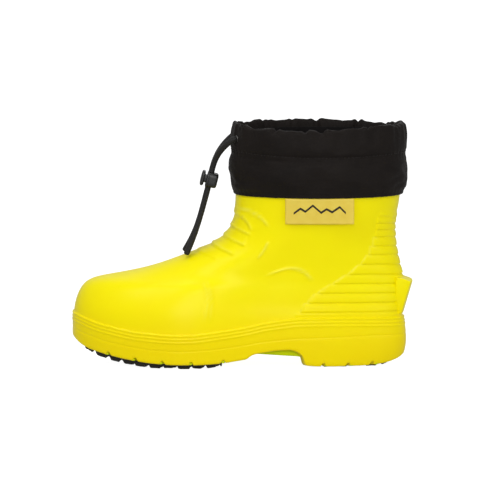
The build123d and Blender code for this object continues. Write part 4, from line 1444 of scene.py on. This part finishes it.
def cord_tail_path(side, eyelet_node, tip):
    """The free cord from an eyelet, over a bend, through the lock and down to its tip."""
    face, normal = eyelet_frame(eyelet_node)
    lock = LOCK_MIDDLE + Vector((0, side * CORD_LANE, 0))
    run = 15.8 * MM
    top, bottom = lock + CORD_AXIS * run, lock - CORD_AXIS * run
    start = face + normal * 0.1 * MM
    ball = face + normal * 3.0 * MM
    bend = Vector((ball.x - 9.5 * MM, ball.y + (top.y - ball.y) * 0.45, ball.z - 9 * MM))
    knee = Vector((bottom.x - 8.5 * MM, bottom.y + (tip.y - bottom.y) * 0.45, bottom.z - 29 * MM))
    straight = [bottom + (top - bottom) * t for t in (1, 0.5, 0)]
    return smooth_path([start, ball, bend, *straight, knee, tip], 0.42 * MM)


def cord_mesh(name, path):
    """A free cord end with a rounded tip."""
    along = lengths_along(path)
    left = np.clip((along[-1] - along) / CORD_TIP, 0, 1)
    radius = CORD_RADIUS * np.sqrt(np.clip(1 - (1 - left) ** 2.4, 0.0004, 1))
    fade = smooth_step(0, 1.5 * MM, along[-1] - along)
    pattern = braid()
    piece = tube(name, path, radius, 30, lambda a, s: pattern(a, s) * fade[:, None])
    return cap_tube(piece, 30)


def drawcord_path():
    """The cord inside the collar's tunnel, round the back from one eyelet to the other."""
    depth, height, leave_y = 4.4, TUNNEL_HEIGHT, 33 * MM
    angle = np.linspace(0, math.pi, 400)
    half = collar_half_length(np.full(1, height))[0]
    x, y = collar_outline(angle, half, depth)
    ring = np.stack([x, -y, np.full_like(x, height * MM)], axis=1)      # the inner side, front to back
    ring = ring[(ring[:, 1] > leave_y) | (ring[:, 0] > LEG_X)]
    ends = []
    for node, flip in (("eyelet_medial", 1), ("eyelet_lateral", -1)):
        face, normal = (np.array(v) for v in eyelet_frame(node))
        first = ring[0] * (1, flip, 1)
        heading = (ring[0] - ring[1]) * (1, flip, 1)
        heading /= np.linalg.norm(heading)
        inside = face - normal * 2.2 * MM
        bend = bezier(inside, inside - normal * 3 * MM, first + heading * 4 * MM, first, 14)
        ends.append(np.concatenate([[face, (face + inside) / 2], bend]))
    back = ring[::-1] * (1, -1, 1)
    path = np.concatenate([ends[0][:-1], ring[:-1], back, ends[1][::-1][1:]])
    return resample(path, 1.0 * MM)


def make_drawcord():
    pattern = braid()
    piece = tube("drawcord_in_tunnel", drawcord_path(), CORD_RADIUS, 16, pattern)
    return cap_tube(piece, 16)


def cap_tube(piece, sides):
    """Closes both open ends of a tube."""
    count = len(piece.data.vertices)
    work = bmesh.new()
    work.from_mesh(piece.data)
    work.verts.ensure_lookup_table()
    work.faces.new([work.verts[i] for i in range(sides)])
    work.faces.new([work.verts[count - sides + i] for i in range(sides)])
    bmesh.ops.recalc_face_normals(work, faces=work.faces)
    work.to_mesh(piece.data)
    work.free()
    for face in piece.data.polygons:
        face.use_smooth = True
    return piece


def lock_middle():
    """Where the cords cross the middle of the lock: its body's box is even about it across the cords."""
    node = frame["nodes"]["cord_lock_body"]
    points = [v.co for v in node.data.vertices]

    def middle(axis):
        values = [p.dot(axis) for p in points]
        return (min(values) + max(values)) / 2

    body_low = min(p.dot(PRESS_AXIS) for p in points)
    across = Vector((0, 1, 0))
    cord_to_face = 3.36 * MM            # from the cords' middle to the body's open face
    return (CORD_AXIS * middle(CORD_AXIS) + across * middle(across)
            + PRESS_AXIS * (body_low + cord_to_face))


LOCK_MIDDLE = lock_middle()
LOCK_AXES = (tuple(CORD_AXIS), (0, 1, 0), tuple(PRESS_AXIS))


def lock_block(name, start, end, half_along, half_across, power=4.0):
    """A rounded block of the lock between two places along the button's travel, in mm."""
    centre = LOCK_MIDDLE + PRESS_AXIS * (start + end) / 2 * MM
    halves = (half_along * MM, half_across * MM, (end - start) / 2 * MM)
    return rounded_block(name, centre, LOCK_AXES, halves, power, 5.0)


def make_lock_body():
    """The barrel that the cords run through, with a raised band round its open end."""
    barrel = lock_block("lock_barrel", -3.3, 7.3, 6.9, 8.3, 5.5)
    band = lock_block("lock_band", -3.36, -0.6, 7.3, 8.6, 6.0)
    return join("lock_barrel", [barrel, band])


def make_lock_button():
    """The domed button and its stem."""
    dome = lock_block("lock_dome", -8.6, -4.8, 7.0, 8.2, 3.4)
    stem = lock_block("lock_stem", -6.2, -0.4, 3.6, 6.4, 8.0)
    return join("lock_dome", [dome, stem])


def make_spring(name):
    """The coil behind the plunger."""
    start, end, turns, radius, wire = 3.85 * MM, 6.2 * MM, 2.0, 2.4 * MM, 0.15 * MM
    t = np.linspace(0, 1, 120)
    across = np.array((0, 1.0, 0))
    axis, up = np.array(PRESS_AXIS), np.array(CORD_AXIS)
    angle = 2 * math.pi * turns * t
    centre = np.array(LOCK_MIDDLE) + axis * (start + (end - start) * t)[:, None]
    path = centre + radius * (np.cos(angle)[:, None] * across + np.sin(angle)[:, None] * up)
    piece = cap_tube(tube(name, path, wire, 10), 10)
    return piece, np.array(LOCK_MIDDLE) + axis * end


# The label --------------------------------------------------------------------------------------
LABEL_BOW = 1.2 * MM
LABEL_WIDE, LABEL_TALL = 62.8, 23.4          # mm, to measure how far a point lies from the film's edge


def label_point(u, v, out):
    """A point of the label: u across and v up it, both 0 to 1, out of its back face in metres."""
    lean = math.radians(3)
    drop = (1 - v) * (LABEL_HIGH.z - LABEL_LOW.z) / math.cos(lean)
    back_y = LABEL_LOW.y + 1.0 * MM
    x = LABEL_LOW.x + (LABEL_HIGH.x - LABEL_LOW.x) * u
    bow = LABEL_BOW * (2 * u - 1) ** 2
    away = out - bow
    return np.array((x, back_y - away * math.cos(lean) + drop * math.sin(lean),
                     LABEL_HIGH.z - drop * math.cos(lean) - away * math.sin(lean)))


def make_label_film(name):
    """A thin film with a slightly raised welded edge."""
    columns, rows, thick = 90, 36, 0.85 * MM
    across, up = np.linspace(0, 1, columns), np.linspace(0, 1, rows)

    def front_height(u, v):
        edge = min(min(u, 1 - u) * LABEL_WIDE, min(v, 1 - v) * LABEL_TALL)
        weld = 0.14 * MM * math.exp(-((edge - 1.3) / 0.5) ** 2)
        fall = 0.3 * MM * max(0.0, 1 - edge / 0.7) ** 2
        return thick + weld - fall

    front = np.array([[label_point(u, v, front_height(u, v)) for u in across] for v in up])
    back = np.array([[label_point(u, v, 0) for u in across] for v in up])
    return closed_slab(name, front, back)


def make_label_mark(name):
    """A plain zigzag line printed across the label, like a row of hills."""
    peaks = [(0.12, 0.42), (0.22, 0.62), (0.29, 0.50), (0.40, 0.74), (0.52, 0.46), (0.60, 0.60), (0.68, 0.48),
             (0.79, 0.68), (0.88, 0.44)]
    half = 0.045
    us = np.linspace(peaks[0][0], peaks[-1][0], 120)
    vs = np.interp(us, [p[0] for p in peaks], [p[1] for p in peaks])
    layers = []
    for out in (0.86 * MM, 0.98 * MM):
        layers.append([label_point(u, v - half, out) for u, v in zip(us, vs)])
        layers.append([label_point(u, v + half, out) for u, v in zip(us, vs)])
    order = [layers[0], layers[1], layers[3], layers[2]]
    grid = np.array(order).transpose(1, 0, 2)
    piece = sheet(name, grid)
    return outward(cap_tube(piece, 4))


# Pieces -----------------------------------------------------------------------------------------
def paint(node, material):
    """Gives a CAD node that stays as it is its material."""
    mesh = frame["nodes"][node].data
    mesh.materials.clear()
    mesh.materials.append(material)


def make_shell_pieces():
    dress(make_shell(), "boot", YELLOW, "shell_foam", "shell")
    dress(make_spur(), "boot", YELLOW, "shell_foam")


def make_collar_pieces():
    face = collar_sheet()
    dress(thicken("collar_outer", face, CLOTH * MM), "boot", NYLON, "collar_nylon", "gaiter_outer")
    lining = thicken("collar_lining", lining_sheet(), 0.7 * MM)
    dress(lining, "boot", LINING, "lining_nylon", "gaiter_lining")
    hem_row = stitches("hem_stitches", face, lambda x: HEM + 2.5)
    dress(hem_row, "boot", THREAD, "thread", "hem_thread")
    seam_row = stitches("tunnel_stitches", face, seam_height)
    dress(seam_row, "boot", THREAD, "thread", "tunnel_thread")


def make_cord_pieces():
    for side, name in ((-1, "lateral"), (1, "medial")):
        eyelet = make_eyelet(f"eyelet_{name}", f"eyelet_ring_{name}")
        dress(eyelet, "boot", EYELET, "eyelet_metal", f"eyelet_{name}")
        paint(f"eyelet_washer_{name}", EYELET)
        path = cord_tail_path(side, f"eyelet_{name}", TAIL_TIPS[name])
        cord = cord_mesh(f"cord_end_{name}", path)
        cord.data.materials.append(CORD)
        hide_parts(f"cord_tail_{name}")
        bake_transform(cord)
    dress(make_drawcord(), "boot", CORD, "cord", "drawcord")
    dress(make_lock_body(), "cord_lock", PLASTIC, "lock_plastic", "cord_lock_body")
    dress(make_lock_button(), "lock_button", PLASTIC, "lock_plastic", "cord_lock_plunger")
    spring, anchor = make_spring("lock_spring_coil")
    dress(spring, "cord_lock", STEEL, "spring_steel", "cord_lock_spring")
    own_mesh(spring)


TAIL_TIPS = {
    "lateral": Vector((-149.4, -18, 102.4)) * MM,
    "medial": Vector((-151.2, -3, 104.2)) * MM,
}


def make_label_pieces():
    film = make_label_film("label_film")
    dress(film, "label", FILM, "label_film", "label_tab")
    dress(make_label_mark("label_hill_line"), "label", PRINT, "label_film")


make_shell_pieces()
make_sole_pieces()
make_inside_pieces()
make_collar_pieces()
make_cord_pieces()
make_label_pieces()


# Stage ------------------------------------------------------------------------------------------
FLOOR_SEEN, FLOOR_GLOW = 0.97, 0.24          # the floor's own light to the camera, and on the boot


def make_stage():
    size = 6.0
    floor = add_mesh("floor", [(-size, -size, 0), (size, -size, 0), (size, size, 0), (-size, size, 0)],
                     [(0, 1, 2, 3)])
    s = Shader("pale_floor")
    grain = s.noise(s.where(), 4, 2)
    seen = s.node("ShaderNodeLightPath").outputs["Is Camera Ray"]
    s.set(Base_Color=s.mix(grain, (0.30, 0.30, 0.30, 1), (0.32, 0.32, 0.32, 1)), Roughness=0.9)
    s.set(Emission_Color=(1, 1, 1, 1), Emission_Strength=s.ramp(seen, 0, 1, FLOOR_GLOW, FLOOR_SEEN))
    floor.data.materials.append(s.material)


def add_light(name, place, target, size, watts):
    data = bpy.data.lights.new(name, "AREA")
    data.shape, data.size, data.energy = "DISK", size, watts
    lamp = bpy.data.objects.new(name, data)
    lamp.location = place
    lamp.rotation_euler = (Vector(target) - Vector(place)).to_track_quat("-Z", "Y").to_euler()
    bpy.context.scene.collection.objects.link(lamp)


SKY_LIGHT = 0.47
LIGHTS = {                                   # place, diameter in metres and watts
    "key": ((-0.62, -0.80, 1.05), 0.5, 3.0),
    "window": ((-0.02, -1.45, 0.56), 0.75, 6.0),
    "top": ((-0.1, -0.1, 1.6), 0.8, 4.6),
    "fill": ((1.3, -1.2, 0.5), 1.2, 4.5),
    "back": ((0.1, 1.4, 1.2), 1.0, 4),
}
LIT_POINT = (-0.1, 0, 0.1)                   # near the boot's middle


def make_lights():
    for name, (place, size, watts) in LIGHTS.items():
        add_light(name, place, LIT_POINT, size, watts)
    world = bpy.data.worlds.new("studio")
    world.use_nodes = True
    tree = world.node_tree
    seen = tree.nodes["Background"]
    seen.inputs[0].default_value = (1, 1, 1, 1)
    seen.inputs[1].default_value = 1.0
    lit = tree.nodes.new("ShaderNodeBackground")
    lit.inputs[0].default_value = (1, 1, 1, 1)
    lit.inputs[1].default_value = SKY_LIGHT
    path = tree.nodes.new("ShaderNodeLightPath")
    mixed = tree.nodes.new("ShaderNodeMixShader")
    tree.links.new(path.outputs["Is Camera Ray"], mixed.inputs[0])
    tree.links.new(lit.outputs[0], mixed.inputs[1])
    tree.links.new(seen.outputs[0], mixed.inputs[2])
    tree.links.new(mixed.outputs[0], tree.nodes["World Output"].inputs[0])
    bpy.context.scene.world = world
    bpy.context.scene.view_settings.view_transform = "Standard"


CAMERA_ELEVATION = math.radians(6)
CAMERA_DISTANCE = 9.0
VIEW_WIDTH = 0.447        # width of what the camera sees at the boot
AIM_BEHIND_TOE, AIM_HEIGHT = 0.1567, 0.1111


def make_camera():
    data = bpy.data.cameras.new("camera")
    data.sensor_width = 36
    data.lens = data.sensor_width * CAMERA_DISTANCE / VIEW_WIDTH
    camera = bpy.data.objects.new("camera", data)
    target = Vector((TOE_X + AIM_BEHIND_TOE, 0, AIM_HEIGHT))
    back = Vector((0, -math.cos(CAMERA_ELEVATION), math.sin(CAMERA_ELEVATION)))
    camera.location = target + back * CAMERA_DISTANCE
    camera.rotation_euler = (-back).to_track_quat("-Z", "Y").to_euler()
    bpy.context.scene.collection.objects.link(camera)
    bpy.context.scene.camera = camera


make_stage()
make_lights()
make_camera()
